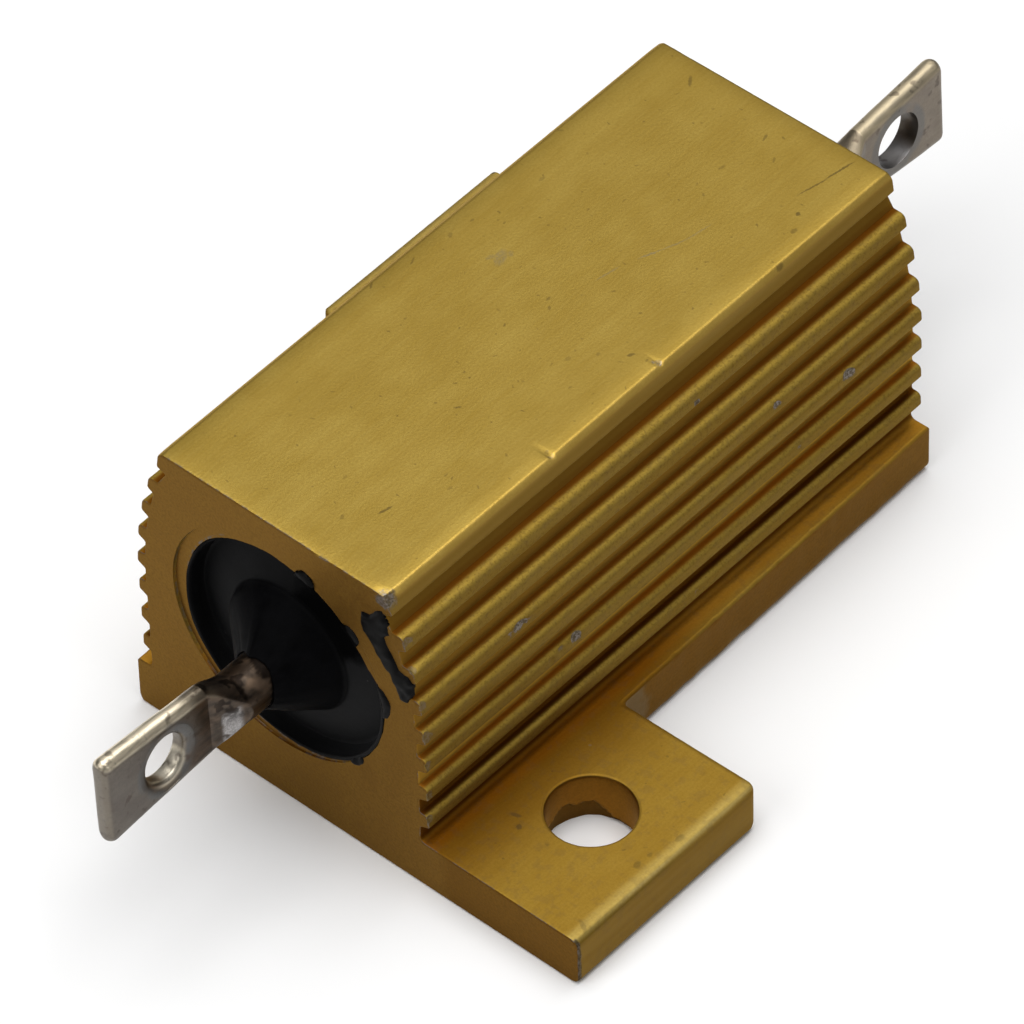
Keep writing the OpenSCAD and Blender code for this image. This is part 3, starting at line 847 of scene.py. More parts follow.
def arc_patch(r0, r1, a0, a1, n=10):
    """Patch hugging the bore between two radii and two angles (0 is +Y, 90 is up)."""
    a = np.radians(np.linspace(a0, a1, n))
    return ([(AX_Y + r0 * math.cos(t), AX_Z + r0 * math.sin(t)) for t in a]
            + [(AX_Y + (r0 + (r1 - r0) * math.sin(math.pi * i / (n - 1)) ** 0.6) * math.cos(t), AX_Z + (r0 + (r1 - r0) * math.sin(math.pi * i / (n - 1)) ** 0.6) * math.sin(t))
               for i, t in reversed(list(enumerate(a)))])


parts = [blob(SMEAR, 0.14, seed=1),
         blob(arc_patch(4.34, 4.86, 99.0, 111.5), 0.10, seed=5, edge=0.07),
         blob(arc_patch(4.28, 4.74, 131, 144), 0.08, seed=8, edge=0.07),
         blob(arc_patch(4.64, 5.08, 164, 183), 0.09, seed=12, edge=0.07),
         blob(arc_patch(4.62, 4.94, 220, 231), 0.08, seed=17, edge=0.07)]
V, F, o_ = [], [], 0
for pv, pf in parts:
    V.append(pv); F += [[i + o_ for i in q] for q in pf]; o_ += len(pv)
smears = make("silicone_smears", np.concatenate(V), F)
tidy(smears, 60, weighted=False)

# ---------------------------------------------------------------- materials

class Mat:
    """Small helper round a node tree. Its coordinates are object coordinates in millimetres."""

    def __init__(s, name, colour, rough, metal):
        s.m = bpy.data.materials.new(name)
        s.m.use_nodes = True
        s.t = s.m.node_tree
        s.b = s.t.nodes["Principled BSDF"]
        s.b.inputs["Base Color"].default_value = (*colour, 1)
        s.b.inputs["Roughness"].default_value = rough
        s.b.inputs["Metallic"].default_value = metal
        tc = s.t.nodes.new("ShaderNodeTexCoord")
        s.co = s.vec("SCALE", tc.outputs["Object"], scale=1000.0)
        s.xyz = None

    def link(s, a, b):
        s.t.links.new(a, b)

    def put(s, sock, val):
        if isinstance(val, bpy.types.NodeSocket):
            s.link(val, sock)
        elif isinstance(val, (tuple, list)):
            sock.default_value = tuple(val) + ((1,) if len(val) == 3 and len(sock.default_value) == 4 else ())
        else:
            sock.default_value = val

    def vec(s, op, a, b=None, c=None, scale=None):
        n = s.t.nodes.new("ShaderNodeVectorMath"); n.operation = op
        s.put(n.inputs[0], a)
        if b is not None: s.put(n.inputs[1], b)
        if c is not None: s.put(n.inputs[2], c)
        if scale is not None: s.put(n.inputs["Scale"], scale)
        return n.outputs["Value"] if op in ("LENGTH", "DOT_PRODUCT", "DISTANCE") else n.outputs["Vector"]

    def math(s, op, a, b=0.0, c=None, clamp=False):
        n = s.t.nodes.new("ShaderNodeMath"); n.operation = op; n.use_clamp = clamp
        s.put(n.inputs[0], a); s.put(n.inputs[1], b)
        if c is not None: s.put(n.inputs[2], c)
        return n.outputs[0]

    def split(s, v=None):
        if v is None:
            if s.xyz is None:
                s.xyz = s.split(s.co)
            return s.xyz
        n = s.t.nodes.new("ShaderNodeSeparateXYZ"); s.link(v, n.inputs[0])
        return n.outputs[0], n.outputs[1], n.outputs[2]

    def join(s, x, y, z):
        n = s.t.nodes.new("ShaderNodeCombineXYZ")
        for k, q in enumerate((x, y, z)): s.put(n.inputs[k], q)
        return n.outputs[0]

    def noise(s, vec, scale=1.0, detail=2.0, rough=0.5, distort=0.0, stretch=None, out="Fac"):
        if stretch: vec = s.vec("MULTIPLY", vec, stretch)
        n = s.t.nodes.new("ShaderNodeTexNoise")
        s.link(vec, n.inputs["Vector"])
        n.inputs["Scale"].default_value = scale
        n.inputs["Detail"].default_value = detail
        n.inputs["Roughness"].default_value = rough
        n.inputs["Distortion"].default_value = distort
        return n.outputs[0] if out == "Fac" else n.outputs[1]

    def voronoi(s, vec, scale=1.0, stretch=None, feature="F1", out="Distance", rand=1.0):
        if stretch: vec = s.vec("MULTIPLY", vec, stretch)
        n = s.t.nodes.new("ShaderNodeTexVoronoi"); n.feature = feature
        s.link(vec, n.inputs["Vector"])
        n.inputs["Scale"].default_value = scale
        n.inputs["Randomness"].default_value = rand
        return n.outputs[out]

    def remap(s, v, a, b, c=0.0, d=1.0, smooth=True):
        n = s.t.nodes.new("ShaderNodeMapRange")
        n.interpolation_type = "SMOOTHSTEP" if smooth else "LINEAR"
        s.put(n.inputs[0], v)
        for k, q in enumerate((a, b, c, d)): s.put(n.inputs[1 + k], q)
        return n.outputs[0]

    def mix(s, fac, a, b, mode="MIX"):
        n = s.t.nodes.new("ShaderNodeMix"); n.data_type = "RGBA"; n.blend_type = mode
        s.put(n.inputs["Factor"], fac)
        ia = [i for i in n.inputs if i.type == "RGBA"]
        s.put(ia[0], a); s.put(ia[1], b)
        return [o for o in n.outputs if o.type == "RGBA"][0]

    def attr(s, name):
        n = s.t.nodes.new("ShaderNodeAttribute"); n.attribute_name = name
        return n.outputs["Fac"]

    def normal(s):
        """Surface normal in object space, as the mesh shades it."""
        n = s.t.nodes.new("ShaderNodeTexCoord")
        return n.outputs["Normal"]

    def bump(s, height, strength=1.0, dist=0.00002):
        n = s.t.nodes.new("ShaderNodeBump")
        n.inputs["Strength"].default_value = strength
        n.inputs["Distance"].default_value = dist
        s.link(height, n.inputs["Height"])
        prev = s.b.inputs["Normal"]
        if prev.is_linked:
            s.link(prev.links[0].from_socket, n.inputs["Normal"])
        s.link(n.outputs[0], s.b.inputs["Normal"])

    def attr_vec(s, name):
        n = s.t.nodes.new("ShaderNodeAttribute"); n.attribute_name = name
        return n.outputs["Vector"]

    def stored_marks(s, warped):
        """Strength of the dark and of the pale marks that the mesh stores on its faces."""
        dark = pale = None
        for k in (0, 1):
            dx, dy, _ = s.split(s.vec("SUBTRACT", warped, s.attr_vec("mark_a%d" % k)))
            bx, by, bz = s.split(s.attr_vec("mark_b%d" % k))
            w, kind, _ = s.split(s.attr_vec("mark_c%d" % k))
            u = s.math("MULTIPLY_ADD", dx, bx, s.math("MULTIPLY", dy, by))
            v = s.math("MULTIPLY", s.math("SUBTRACT", s.math("MULTIPLY", dy, bx), s.math("MULTIPLY", dx, by)), bz)
            r = s.math("MULTIPLY_ADD", u, u, s.math("MULTIPLY", v, v))
            m = s.math("MULTIPLY", s.remap(r, 1.5, 0.35), w)
            p = s.math("MULTIPLY", m, kind)
            d = s.math("SUBTRACT", m, p)
            dark = d if dark is None else s.math("MAXIMUM", dark, d)
            pale = p if pale is None else s.math("MAXIMUM", pale, p)
        return dark, pale


GOLD = (0.420, 0.285, 0.058)


def gold_material():
    m = Mat("gold_anodised", GOLD, 0.42, 1.0)
    m.b.inputs["Specular Tint"].default_value = (1.0, 0.86, 0.62, 1)
    x, y, z = m.split()
    ax, ay = m.math("ABSOLUTE", x), m.math("ABSOLUTE", y)
    nx, ny, nz = m.split(m.normal())
    anx, any_ = m.math("ABSOLUTE", nx), m.math("ABSOLUTE", ny)

    # noises that the whole finish shares
    mottle = m.noise(m.co, 0.55, 1.0, 0.55)
    streak = m.noise(m.co, 1.0, 1.0, 0.6, stretch=(0.10, 2.2, 2.2))
    fine = m.noise(m.co, 1.0, 1.0, 0.6, stretch=(0.9, 9.0, 9.0))
    gn = m.t.nodes.new("ShaderNodeTexNoise")
    m.link(m.co, gn.inputs["Vector"])
    gn.inputs["Scale"].default_value = 9.5; gn.inputs["Detail"].default_value = 2.0; gn.inputs["Roughness"].default_value = 0.65
    grain, grain_c = gn.outputs[0], gn.outputs[1]
    warp = m.vec("MULTIPLY_ADD", grain_c, (0.11, 0.11, 0.11), m.vec("SUBTRACT", m.co, (0.055, 0.055, 0.055)))
    edge_n = m.noise(m.co, 2.6, 2.0, 0.7)

    # where the surface is sawn (both ends), sheared (flange sides) or bored
    r_bore = m.math("SQRT", m.math("ADD", m.math("POWER", m.math("SUBTRACT", y, AX_Y), 2.0), m.math("POWER", m.math("SUBTRACT", z, AX_Z), 2.0)))
    sawn = m.remap(anx, 0.72, 0.93)
    near_cut = m.math("MULTIPLY", m.remap(ay, 7.75, 7.68), m.remap(ay, 6.9, 6.95))
    sheared = m.math("MULTIPLY", m.math("MULTIPLY", m.remap(z, 2.12, 2.06), near_cut), m.remap(any_, 0.6, 0.85))
    bored = m.math("MULTIPLY", m.remap(r_bore, 5.02, 4.99), m.remap(ax, 13.42, 13.38))
    r_hole = m.vec("LENGTH", m.vec("SUBTRACT", m.join(ax, m.math("MULTIPLY", y, m.math("SIGN", x)), 0.0), (HOLE_X, HOLE_Y, 0.0)))
    punched = m.math("MULTIPLY", m.remap(r_hole, HOLE_R + 0.24, HOLE_R + 0.20), m.math("MULTIPLY", m.remap(z, 2.17, 2.10), m.remap(z, 0.005, 0.03)))
    broken = m.math("MULTIPLY", punched, m.remap(r_hole, HOLE_R + 0.035, HOLE_R + 0.09))
    sawn_all = m.math("MAXIMUM", m.math("MAXIMUM", sawn, m.math("MAXIMUM", sheared, punched)), bored)

    # extruded skin: broad mottle, lines along the extrusion, fine grain
    c = m.mix(m.remap(mottle, 0.35, 0.68, smooth=False), (0.395, 0.264, 0.049), (0.438, 0.306, 0.066))
    c = m.mix(m.remap(streak, 0.3, 0.72, 0.0, 0.6, smooth=False), c, (0.370, 0.242, 0.044))
    c = m.mix(m.remap(fine, 0.35, 0.7, 0.0, 0.35, smooth=False), c, (0.460, 0.325, 0.078))
    c = m.mix(m.remap(grain, 0.40, 0.66, 0.0, 0.40, smooth=False), c, (0.335, 0.215, 0.040))
    # painted light: the top is painted to grade a little darker from the front end to the rear, and painted shade makes
    # faces that stand upright duller
    c = m.mix(m.remap(x, -14.0, 14.0, 0.0, 0.20, smooth=False), c, (0.29, 0.19, 0.034))
    upright = m.remap(m.math("ABSOLUTE", nz), 0.80, 0.25)
    c = m.mix(m.math("MULTIPLY", upright, 0.86), c, m.mix(m.remap(streak, 0.32, 0.7), (0.205, 0.120, 0.023), (0.235, 0.148, 0.036)))
    low = m.remap(z, 13.25, 12.9)
    c = m.mix(low, c, m.mix(1.0, c, (0.97, 0.98, 0.90), mode="MULTIPLY"))
    # painted highlight: the upper part of the slab's side under the rolled top edge is painted lighter and paler
    facet = m.math("MULTIPLY", m.remap(ay, 5.15, 5.22), m.remap(z, 13.50, 13.72))
    c = m.mix(facet, c, m.mix(1.0, c, (1.22, 1.20, 1.28), mode="MULTIPLY"))
    c = m.mix(m.math("MULTIPLY", m.math("MULTIPLY", low, m.remap(z, 2.25, 2.5)), m.remap(grain, 0.50, 0.66, 0.0, 0.5)), c, m.mix(1.0, c, (0.62, 0.60, 0.60), mode="MULTIPLY"))
    # tabs: painted browner as a painted warm reflection of the fins, and darker still beside the fins as painted shade
    # from the housing
    tab = m.math("MULTIPLY", m.remap(z, 2.6, 2.3), m.remap(ay, 6.3, 6.6))
    c = m.mix(tab, c, m.mix(1.0, c, (0.91, 0.83, 0.68), mode="MULTIPLY"))
    c = m.mix(m.math("MULTIPLY", m.math("MULTIPLY", tab, m.remap(m.math("MULTIPLY", x, m.math("SIGN", y)), -3.0, 3.0)), m.remap(ay, 10.8, 6.6)), c, m.mix(1.0, c, (0.62, 0.45, 0.22), mode="MULTIPLY"))
    # painted light: the strip of flange top along the root of the fins is painted lighter, where the fins shade it
    strip = m.math("MULTIPLY", m.math("MULTIPLY", m.remap(z, 2.6, 2.3), m.remap(ay, 6.2, 6.3)), m.remap(ay, 7.4, 6.9))
    c = m.mix(strip, c, m.mix(1.0, c, (1.28, 1.06, 0.78), mode="MULTIPLY"))
    # painted highlight: a pale bright band along the rounded outer edge of the tab top
    band = m.math("MULTIPLY", tab, m.math("MULTIPLY", m.remap(m.math("MULTIPLY_ADD", streak, 0.3, ay), 13.15, 13.60), m.remap(nz, 0.50, 0.90)))
    c = m.mix(band, c, m.mix(1.0, c, (1.34, 1.56, 2.70), mode="MULTIPLY"))
    # painted shade: the upright side below it is painted duller and greyer, with a painted dark line where the two meet
    outer = m.math("MULTIPLY", m.remap(ay, 13.50, 13.56), m.math("MULTIPLY", m.remap(z, 2.6, 2.3), m.remap(any_, 0.35, 0.60)))
    c = m.mix(outer, c, m.mix(m.math("MULTIPLY", m.remap(any_, 0.97, 0.85), m.remap(streak, 0.35, 0.60)), m.mix(1.0, c, (1.07, 1.12, 1.50), mode="MULTIPLY"), m.mix(1.0, c, (0.72, 0.74, 0.80), mode="MULTIPLY")))
    stain = m.math("MULTIPLY", m.remap(edge_n, 0.50, 0.64), m.remap(z, 12.8, 12.5))
    c = m.mix(m.math("MULTIPLY", stain, 0.16), c, (0.150, 0.098, 0.050))
    rough = m.remap(mottle, 0.3, 0.7, 0.412, 0.438, smooth=False)
    rough = m.math("MULTIPLY_ADD", m.remap(z, 13.84, 13.66), 0.24, rough)

    # painted shade: the grooves and the inner part of each fin's top are painted darker where the fins shade them;
    # painted lighter lower down, with a painted lit band near z 5.3 to 6.0 and painted deeper shade in the lowest
    # groove
    w_env = m.math("SUBTRACT", m.math("SQRT", m.math("SUBTRACT", SIDE_R ** 2, m.math("POWER", m.math("MAXIMUM", m.math("SUBTRACT", z, CURVE_Z), 0.0), 2.0))), SIDE_R - FIN_W)
    inward = m.math("SUBTRACT", w_env, ay)
    ledge = m.math("MULTIPLY", m.remap(nz, 0.45, 0.75), m.remap(inward, 0.10, 0.30))
    ledge = m.math("MULTIPLY", ledge, m.math("MULTIPLY", m.remap(z, 12.5, 12.4), m.remap(z, 2.6, 2.8)))
    deep = m.remap(inward, 0.14, 0.40)
    deep = m.math("MULTIPLY", deep, m.math("MULTIPLY", m.remap(z, 12.95, 12.85), m.remap(z, 2.15, 2.4)))
    deep = m.math("MULTIPLY", deep, m.remap(ay, 4.95, 5.05))
    lower = m.remap(z, 11.5, 4.5, smooth=False)
    shade = m.mix(lower, (0.25, 0.132, 0.0180), (0.39, 0.225, 0.0360))
    shade = m.mix(m.math("MULTIPLY", m.remap(z, 6.10, 5.95), m.remap(z, 5.15, 5.30)), shade, (0.52, 0.320, 0.0480))
    shade = m.mix(m.remap(z, 4.75, 4.55), shade, (0.15, 0.055, 0.0035))
    c = m.mix(m.math("MULTIPLY", deep, 0.9), c, shade)
    shade = m.mix(lower, (0.16, 0.052, 0.0032), (0.40, 0.160, 0.0150))
    c = m.mix(m.math("MULTIPLY", ledge, 0.9), c, m.mix(m.remap(z, 4.2, 4.0), shade, (0.12, 0.036, 0.0022)))

    # sawn ends: browner and rougher, with blotches and faint saw lines
    blot = m.noise(m.co, 0.9, 2.0, 0.6)
    cs = m.mix(m.remap(blot, 0.34, 0.68, smooth=False), (0.158, 0.078, 0.0150), (0.190, 0.100, 0.0205))
    cs = m.mix(m.remap(fine, 0.35, 0.7, 0.0, 0.30, smooth=False), cs, (0.125, 0.061, 0.0125))
    cs = m.mix(m.remap(grain, 0.42, 0.68, 0.0, 0.45, smooth=False), cs, (0.105, 0.052, 0.0110))
    cs = m.mix(m.remap(ay, 7.0, 8.0), cs, m.mix(1.0, cs, (0.82, 0.75, 0.62), mode="MULTIPLY"))
    cs = m.mix(sheared, cs, m.mix(1.0, cs, (0.90, 0.82, 0.70), mode="MULTIPLY"))
    cs = m.mix(punched, cs, m.mix(1.0, cs, (1.75, 1.62, 1.15), mode="MULTIPLY"))
    cs = m.mix(m.math("MULTIPLY", broken, 0.75), cs, (0.075, 0.036, 0.008))
    # the sheared flange is dirty in places, greyest beside the tab
    dirt = m.math("MULTIPLY", sheared, m.remap(m.math("ADD", m.math("MULTIPLY", m.math("SUBTRACT", blot, 0.5), 3.2), m.math("MULTIPLY", x, m.math("SIGN", m.math("MULTIPLY", y, -1.0)))), -2.2, -3.0))
    cs = m.mix(m.math("MULTIPLY", dirt, 0.55), cs, (0.150, 0.118, 0.075))
    c = m.mix(sawn_all, c, cs)
    rough = m.mixf(sawn_all, rough, m.remap(blot, 0.3, 0.7, 0.44, 0.54, smooth=False))

    # worn metal along the arrises of the ends, the bore rim and the dents
    end_d = m.math("SUBTRACT", HALF, m.math("ABSOLUTE", m.math("SUBTRACT", x, m.math("MULTIPLY", m.remap(x, 0.0, -0.1), m.math("MULTIPLY_ADD", y, 0.015, m.math("MULTIPLY_ADD", z, -0.008, 0.056))))))
    slope_x = m.math("MULTIPLY", m.remap(anx, 0.16, 0.40), m.remap(anx, 0.985, 0.90))
    arris = m.math("MULTIPLY", slope_x, m.remap(end_d, 0.16, 0.10))
    arris = m.math("MULTIPLY", arris, m.remap(edge_n, 0.44, 0.56))
    tabs = m.remap(ay, 13.35, 13.55)
    tabs = m.math("MULTIPLY", tabs, m.remap(m.math("ADD", end_d, m.math("MULTIPLY", edge_n, 0.16)), 0.29, 0.20))
    tabs = m.math("MULTIPLY", tabs, m.remap(any_, 0.25, 0.45))
    side = m.remap(m.math("SUBTRACT", m.math("SUBTRACT", y, AX_Y), m.math("MULTIPLY", m.math("SUBTRACT", z, AX_Z), 0.7)), -0.8, 1.2)
    rim = m.math("MULTIPLY", m.remap(m.math("ABSOLUTE", m.math("SUBTRACT", r_bore, 4.735)), 0.060, 0.030), m.remap(ax, 13.2, 13.28))
    rim = m.math("MULTIPLY", m.math("MULTIPLY", rim, m.remap(x, 0.0, -0.1)), m.math("MULTIPLY", side, m.remap(edge_n, 0.45, 0.60)))
    dent = m.attr("bare")
    dent = m.math("MULTIPLY", m.remap(m.math("ADD", dent, m.math("MULTIPLY", m.math("SUBTRACT", edge_n, 0.5), 1.0)), 0.36, 0.66), m.remap(dent, 0.12, 0.3))
    dent = m.math("MULTIPLY", dent, m.math("SUBTRACT", 1.0, m.remap(anx, 0.9, 0.97)))
    dent = m.math("MULTIPLY", dent, m.remap(ax, 13.3, 12.9, 0.45, 1.0))
    corner = m.remap(m.math("ADD", m.vec("DISTANCE", m.co, (-HALF, -5.15, 13.55)), m.math("MULTIPLY", m.math("SUBTRACT", edge_n, 0.5), 0.7)), 0.42, 0.26)
    wear = m.math("MAXIMUM", m.math("MAXIMUM", m.math("MULTIPLY", arris, 0.75), rim), m.math("MAXIMUM", dent, corner))
    c = m.mix(m.math("MULTIPLY", wear, 0.78), c, m.mix(m.remap(grain, 0.4, 0.62), (0.085, 0.077, 0.073), m.mix(dent, (0.155, 0.148, 0.150), (0.27, 0.262, 0.262))))
    c = m.mix(m.math("MULTIPLY", tabs, 0.8), c, m.mix(m.remap(grain, 0.4, 0.62), (0.030, 0.025, 0.022), (0.11, 0.10, 0.095)))

    dk, pl = m.stored_marks(warp)
    c = m.mix(m.math("MULTIPLY", dk, 0.62), c, (0.075, 0.052, 0.024))
    pl = m.math("MULTIPLY", pl, m.remap(grain, 0.35, 0.6, 0.4, 1.0))
    c = m.mix(m.math("MULTIPLY", pl, 0.65), c, (0.235, 0.215, 0.155))

    m.link(c, m.b.inputs["Base Color"])
    m.link(rough, m.b.inputs["Roughness"])
    m.bump(grain, 0.5, 0.000011)
    return m.m


def mixf(s, fac, a, b):
    n = s.t.nodes.new("ShaderNodeMix"); n.data_type = "FLOAT"
    s.put(n.inputs["Factor"], fac)
    fl = [i for i in n.inputs if i.type == "VALUE" and i.name in ("A", "B") and i.enabled]
    s.put(fl[0], a); s.put(fl[1], b)
    return [o for o in n.outputs if o.type == "VALUE"][0]


Mat.mixf = mixf


def silicone_material():
    m = Mat("black_silicone_rubber", (0.004, 0.004, 0.0045), 0.5, 0.0)
    m.b.inputs["Specular IOR Level"].default_value = 0.20
    x, y, z = m.split()
    r = m.math("SQRT", m.math("ADD", m.math("POWER", m.math("SUBTRACT", y, AX_Y), 2.0), m.math("POWER", m.math("SUBTRACT", z, AX_Z), 2.0)))
    n1 = m.noise(m.co, 1.2, 3.0, 0.55)
    n2 = m.noise(m.co, 12.0, 2.0, 0.6)
    annulus_zone = m.math("MULTIPLY", m.remap(r, 2.62, 2.80), m.remap(r, 4.56, 4.50))
    c = m.mix(m.remap(n1, 0.35, 0.7, smooth=False), (0.0015, 0.0015, 0.0017), (0.0030, 0.0030, 0.0034))
    c = m.mix(annulus_zone, c, m.mix(m.remap(n1, 0.3, 0.7, smooth=False), (0.0016, 0.0016, 0.0018), (0.0027, 0.0027, 0.0030)))
    # painted light: the annulus is painted lighter towards its lower right, where the rim shades it
    t = m.math("ADD", m.math("MULTIPLY", m.math("SUBTRACT", y, AX_Y), 0.7), m.math("MULTIPLY", m.math("SUBTRACT", z, AX_Z), 0.7))
    c = m.mix(m.math("MULTIPLY", annulus_zone, m.remap(t, 1.5, -3.0, smooth=False)), c, (0.0095, 0.0095, 0.0098))
    # painted shadow: black above and beside the boss, where the rim shades the annulus
    dirn = m.math("DIVIDE", m.math("ADD", m.math("MULTIPLY", m.math("SUBTRACT", y, AX_Y), -0.616), m.math("MULTIPLY", m.math("SUBTRACT", z, AX_Z), 0.788)), r)
    rim_shadow = m.math("MULTIPLY", m.remap(m.math("MULTIPLY_ADD", m.math("SUBTRACT", n1, 0.5), 0.25, dirn), 0.78, 0.95), annulus_zone)
    c = m.mix(rim_shadow, c, (0.0008, 0.0008, 0.0009))
    out = m.math("MULTIPLY", m.remap(x, -13.38, -13.42), m.remap(r, 4.45, 4.55))
    c = m.mix(out, c, m.mix(m.remap(n1, 0.35, 0.65, smooth=False), (0.0012, 0.0011, 0.0011), (0.0042, 0.0040, 0.0039)))
    dust = m.math("MULTIPLY", m.remap(m.voronoi(m.co, 1.1), 0.07, 0.03), m.remap(n1, 0.5, 0.6))
    c = m.mix(m.math("MULTIPLY", dust, 0.35), c, (0.16, 0.155, 0.15))
    m.link(c, m.b.inputs["Base Color"])
    m.link(m.mixf(annulus_zone, m.remap(n1, 0.3, 0.7, 0.42, 0.55, smooth=False), 0.65), m.b.inputs["Roughness"])
    m.link(m.mixf(rim_shadow, m.mixf(m.math("MAXIMUM", annulus_zone, out), 0.012, 0.06), 0.012), m.b.inputs["Specular IOR Level"])
    m.bump(m.math("ADD", m.math("MULTIPLY", n1, 1.0), m.math("MULTIPLY", n2, 0.10)), 0.4, 0.00004)
    return m.m


def lug_material():
    m = Mat("dull_tin_plate", (0.20, 0.18, 0.15), 0.34, 1.0)
    x, y, z = m.split()
    ax = m.math("ABSOLUTE", x)
    nx, ny, nz = m.split(m.normal())
    cloud = m.noise(m.co, 0.9, 2.0, 0.6)
    wipe = m.noise(m.co, 1.0, 2.0, 0.6, stretch=(0.5, 3.0, 2.4))
    grain = m.noise(m.co, 11.0, 2.0, 0.7)
    # dull pressed faces; painted highlight: the upward-facing round edges of the blades are painted much brighter
    c = m.mix(m.remap(cloud, 0.35, 0.68, smooth=False), (0.118, 0.103, 0.088), (0.170, 0.152, 0.130))
    c = m.mix(m.remap(wipe, 0.4, 0.72, 0.0, 0.5, smooth=False), c, (0.100, 0.082, 0.070))
    c = m.mix(m.remap(grain, 0.42, 0.7, 0.0, 0.4, smooth=False), c, (0.088, 0.078, 0.070))
    front = m.remap(x, 0.1, -0.1)
    flank = m.mixf(front, m.remap(m.math("ABSOLUTE", nx), 0.45, 0.12, 0.40, 1.0), 1.0)
    edge = m.math("MAXIMUM", m.math("MULTIPLY", m.remap(nz, 0.16, 0.66), flank), m.math("MULTIPLY", m.remap(m.math("ABSOLUTE", nx), 0.35, 0.75), 0.08))
    edge = m.math("MULTIPLY", edge, m.remap(m.math("ADD", ax, m.math("MULTIPLY_ADD", m.math("SUBTRACT", cloud, 0.5), 1.2, m.mixf(front, 1.0, 0.0))), 17.3, 18.0))
    edge = m.math("MULTIPLY", edge, m.remap(wipe, 0.25, 0.6, 0.6, 1.0))
    c = m.mix(m.remap(x, 0.0, 1.0), c, m.mix(1.0, c, (1.42, 1.34, 1.20), mode="MULTIPLY"))
    c = m.mix(m.math("MULTIPLY", edge, 0.92), c, m.mix(m.remap(wipe, 0.25, 0.50), (0.50, 0.43, 0.30), m.mix(front, (0.58, 0.49, 0.33), (0.99, 0.87, 0.65))))
    # painted shade: a greyer ring round the hole, and a few brown spots
    hx, hz = m.mixf(front, R_HOLE[0], F_HOLE[0]), m.mixf(front, R_HOLE[2], F_HOLE[2])
    rh = m.vec("LENGTH", m.join(m.math("SUBTRACT", x, hx), 0.0, m.math("SUBTRACT", z, hz)))
    ring = m.math("MULTIPLY", m.remap(rh, 1.62, 1.42), m.remap(rh, 1.02, 1.10))
    ring = m.math("MULTIPLY", ring, m.remap(cloud, 0.36, 0.56))
    c = m.mix(m.math("MULTIPLY", ring, 0.55), c, (0.098, 0.106, 0.112))
    # painted light and shade on the upward-facing wall inside the hole: grey, with a dark part towards the housing, on
    # the front blade, and pale on the rear blade
    hx_d = m.math("SUBTRACT", x, hx)
    throat = m.math("MULTIPLY", m.remap(rh, 1.40, 1.20), m.remap(nz, 0.20, 0.60))
    c = m.mix(m.math("MULTIPLY", throat, 0.8), c, m.mix(front, m.mix(m.remap(hx_d, 0.5, 1.0), (0.20, 0.195, 0.20), (0.080, 0.062, 0.048)), (0.50, 0.46, 0.38)))
    spots = m.math("MULTIPLY", m.remap(m.noise(m.co, 1.7, 2.0, 0.65), 0.60, 0.70), 0.55)
    c = m.mix(spots, c, (0.055, 0.036, 0.028))
    # painted reflection: a pale grey patch on the slope of the press, with dirty copper brown round it
    slope = m.math("MULTIPLY", m.remap(m.math("MULTIPLY_ADD", wipe, 0.25, ax), 17.56, 17.40), m.remap(ax, 16.60, 16.85))
    near = m.remap(m.math("ADD", ax, m.math("MULTIPLY", m.math("SUBTRACT", cloud, 0.5), 1.6)), 19.2, 17.9)
    c = m.mix(m.math("MULTIPLY", near, m.mixf(front, 0.12, 0.82)), c, m.mix(m.remap(wipe, 0.35, 0.65), (0.040, 0.030, 0.023), (0.105, 0.074, 0.052)))
    patch = m.math("MULTIPLY", slope, m.remap(m.math("ABSOLUTE", ny), 0.55, 0.80))
    patch = m.math("MULTIPLY", patch, m.remap(m.math("ADD", z, m.math("MULTIPLY", m.math("SUBTRACT", cloud, 0.5), 1.6)), AX_Z + 0.35, AX_Z - 0.05))
    patch = m.math("MULTIPLY", patch, m.remap(wipe, 0.25, 0.42))
    c = m.mix(m.math("MULTIPLY", patch, 0.9), c, m.mix(m.remap(grain, 0.38, 0.62), (0.27, 0.26, 0.255), (0.40, 0.385, 0.38)))
    # painted highlight: a tan sheen on the upper side of the round lead
    stub = m.math("MULTIPLY", m.remap(ax, 16.9, 16.4), m.remap(nz, 0.05, 0.55))
    c = m.mix(m.math("MULTIPLY", stub, m.remap(cloud, 0.42, 0.60, 0.0, 0.8)), c, (0.27, 0.19, 0.13))
    burnt = m.noise(m.co, 1.5, 2.0, 0.6)
    burnt = m.math("MULTIPLY", m.remap(burnt, 0.50, 0.60), m.math("MULTIPLY", m.remap(ax, 18.3, 17.2), m.remap(z, AX_Z - 0.5, AX_Z + 0.3)))
    collar = m.remap(m.math("ADD", ax, m.math("MULTIPLY", m.math("SUBTRACT", wipe, 0.5), 0.9)), 15.50, 15.25)
    burnt = m.math("MULTIPLY", burnt, front)
    c = m.mix(m.math("MULTIPLY", m.math("MAXIMUM", burnt, collar), 0.85), c, (0.016, 0.012, 0.010))
    m.link(c, m.b.inputs["Base Color"])
    m.link(m.mixf(edge, m.remap(cloud, 0.3, 0.7, 0.32, 0.44, smooth=False), m.mixf(front, 0.50, 0.34)), m.b.inputs["Roughness"])
    m.bump(m.math("ADD", cloud, m.math("MULTIPLY", grain, 0.25)), 0.5, 0.00003)
    return m.m


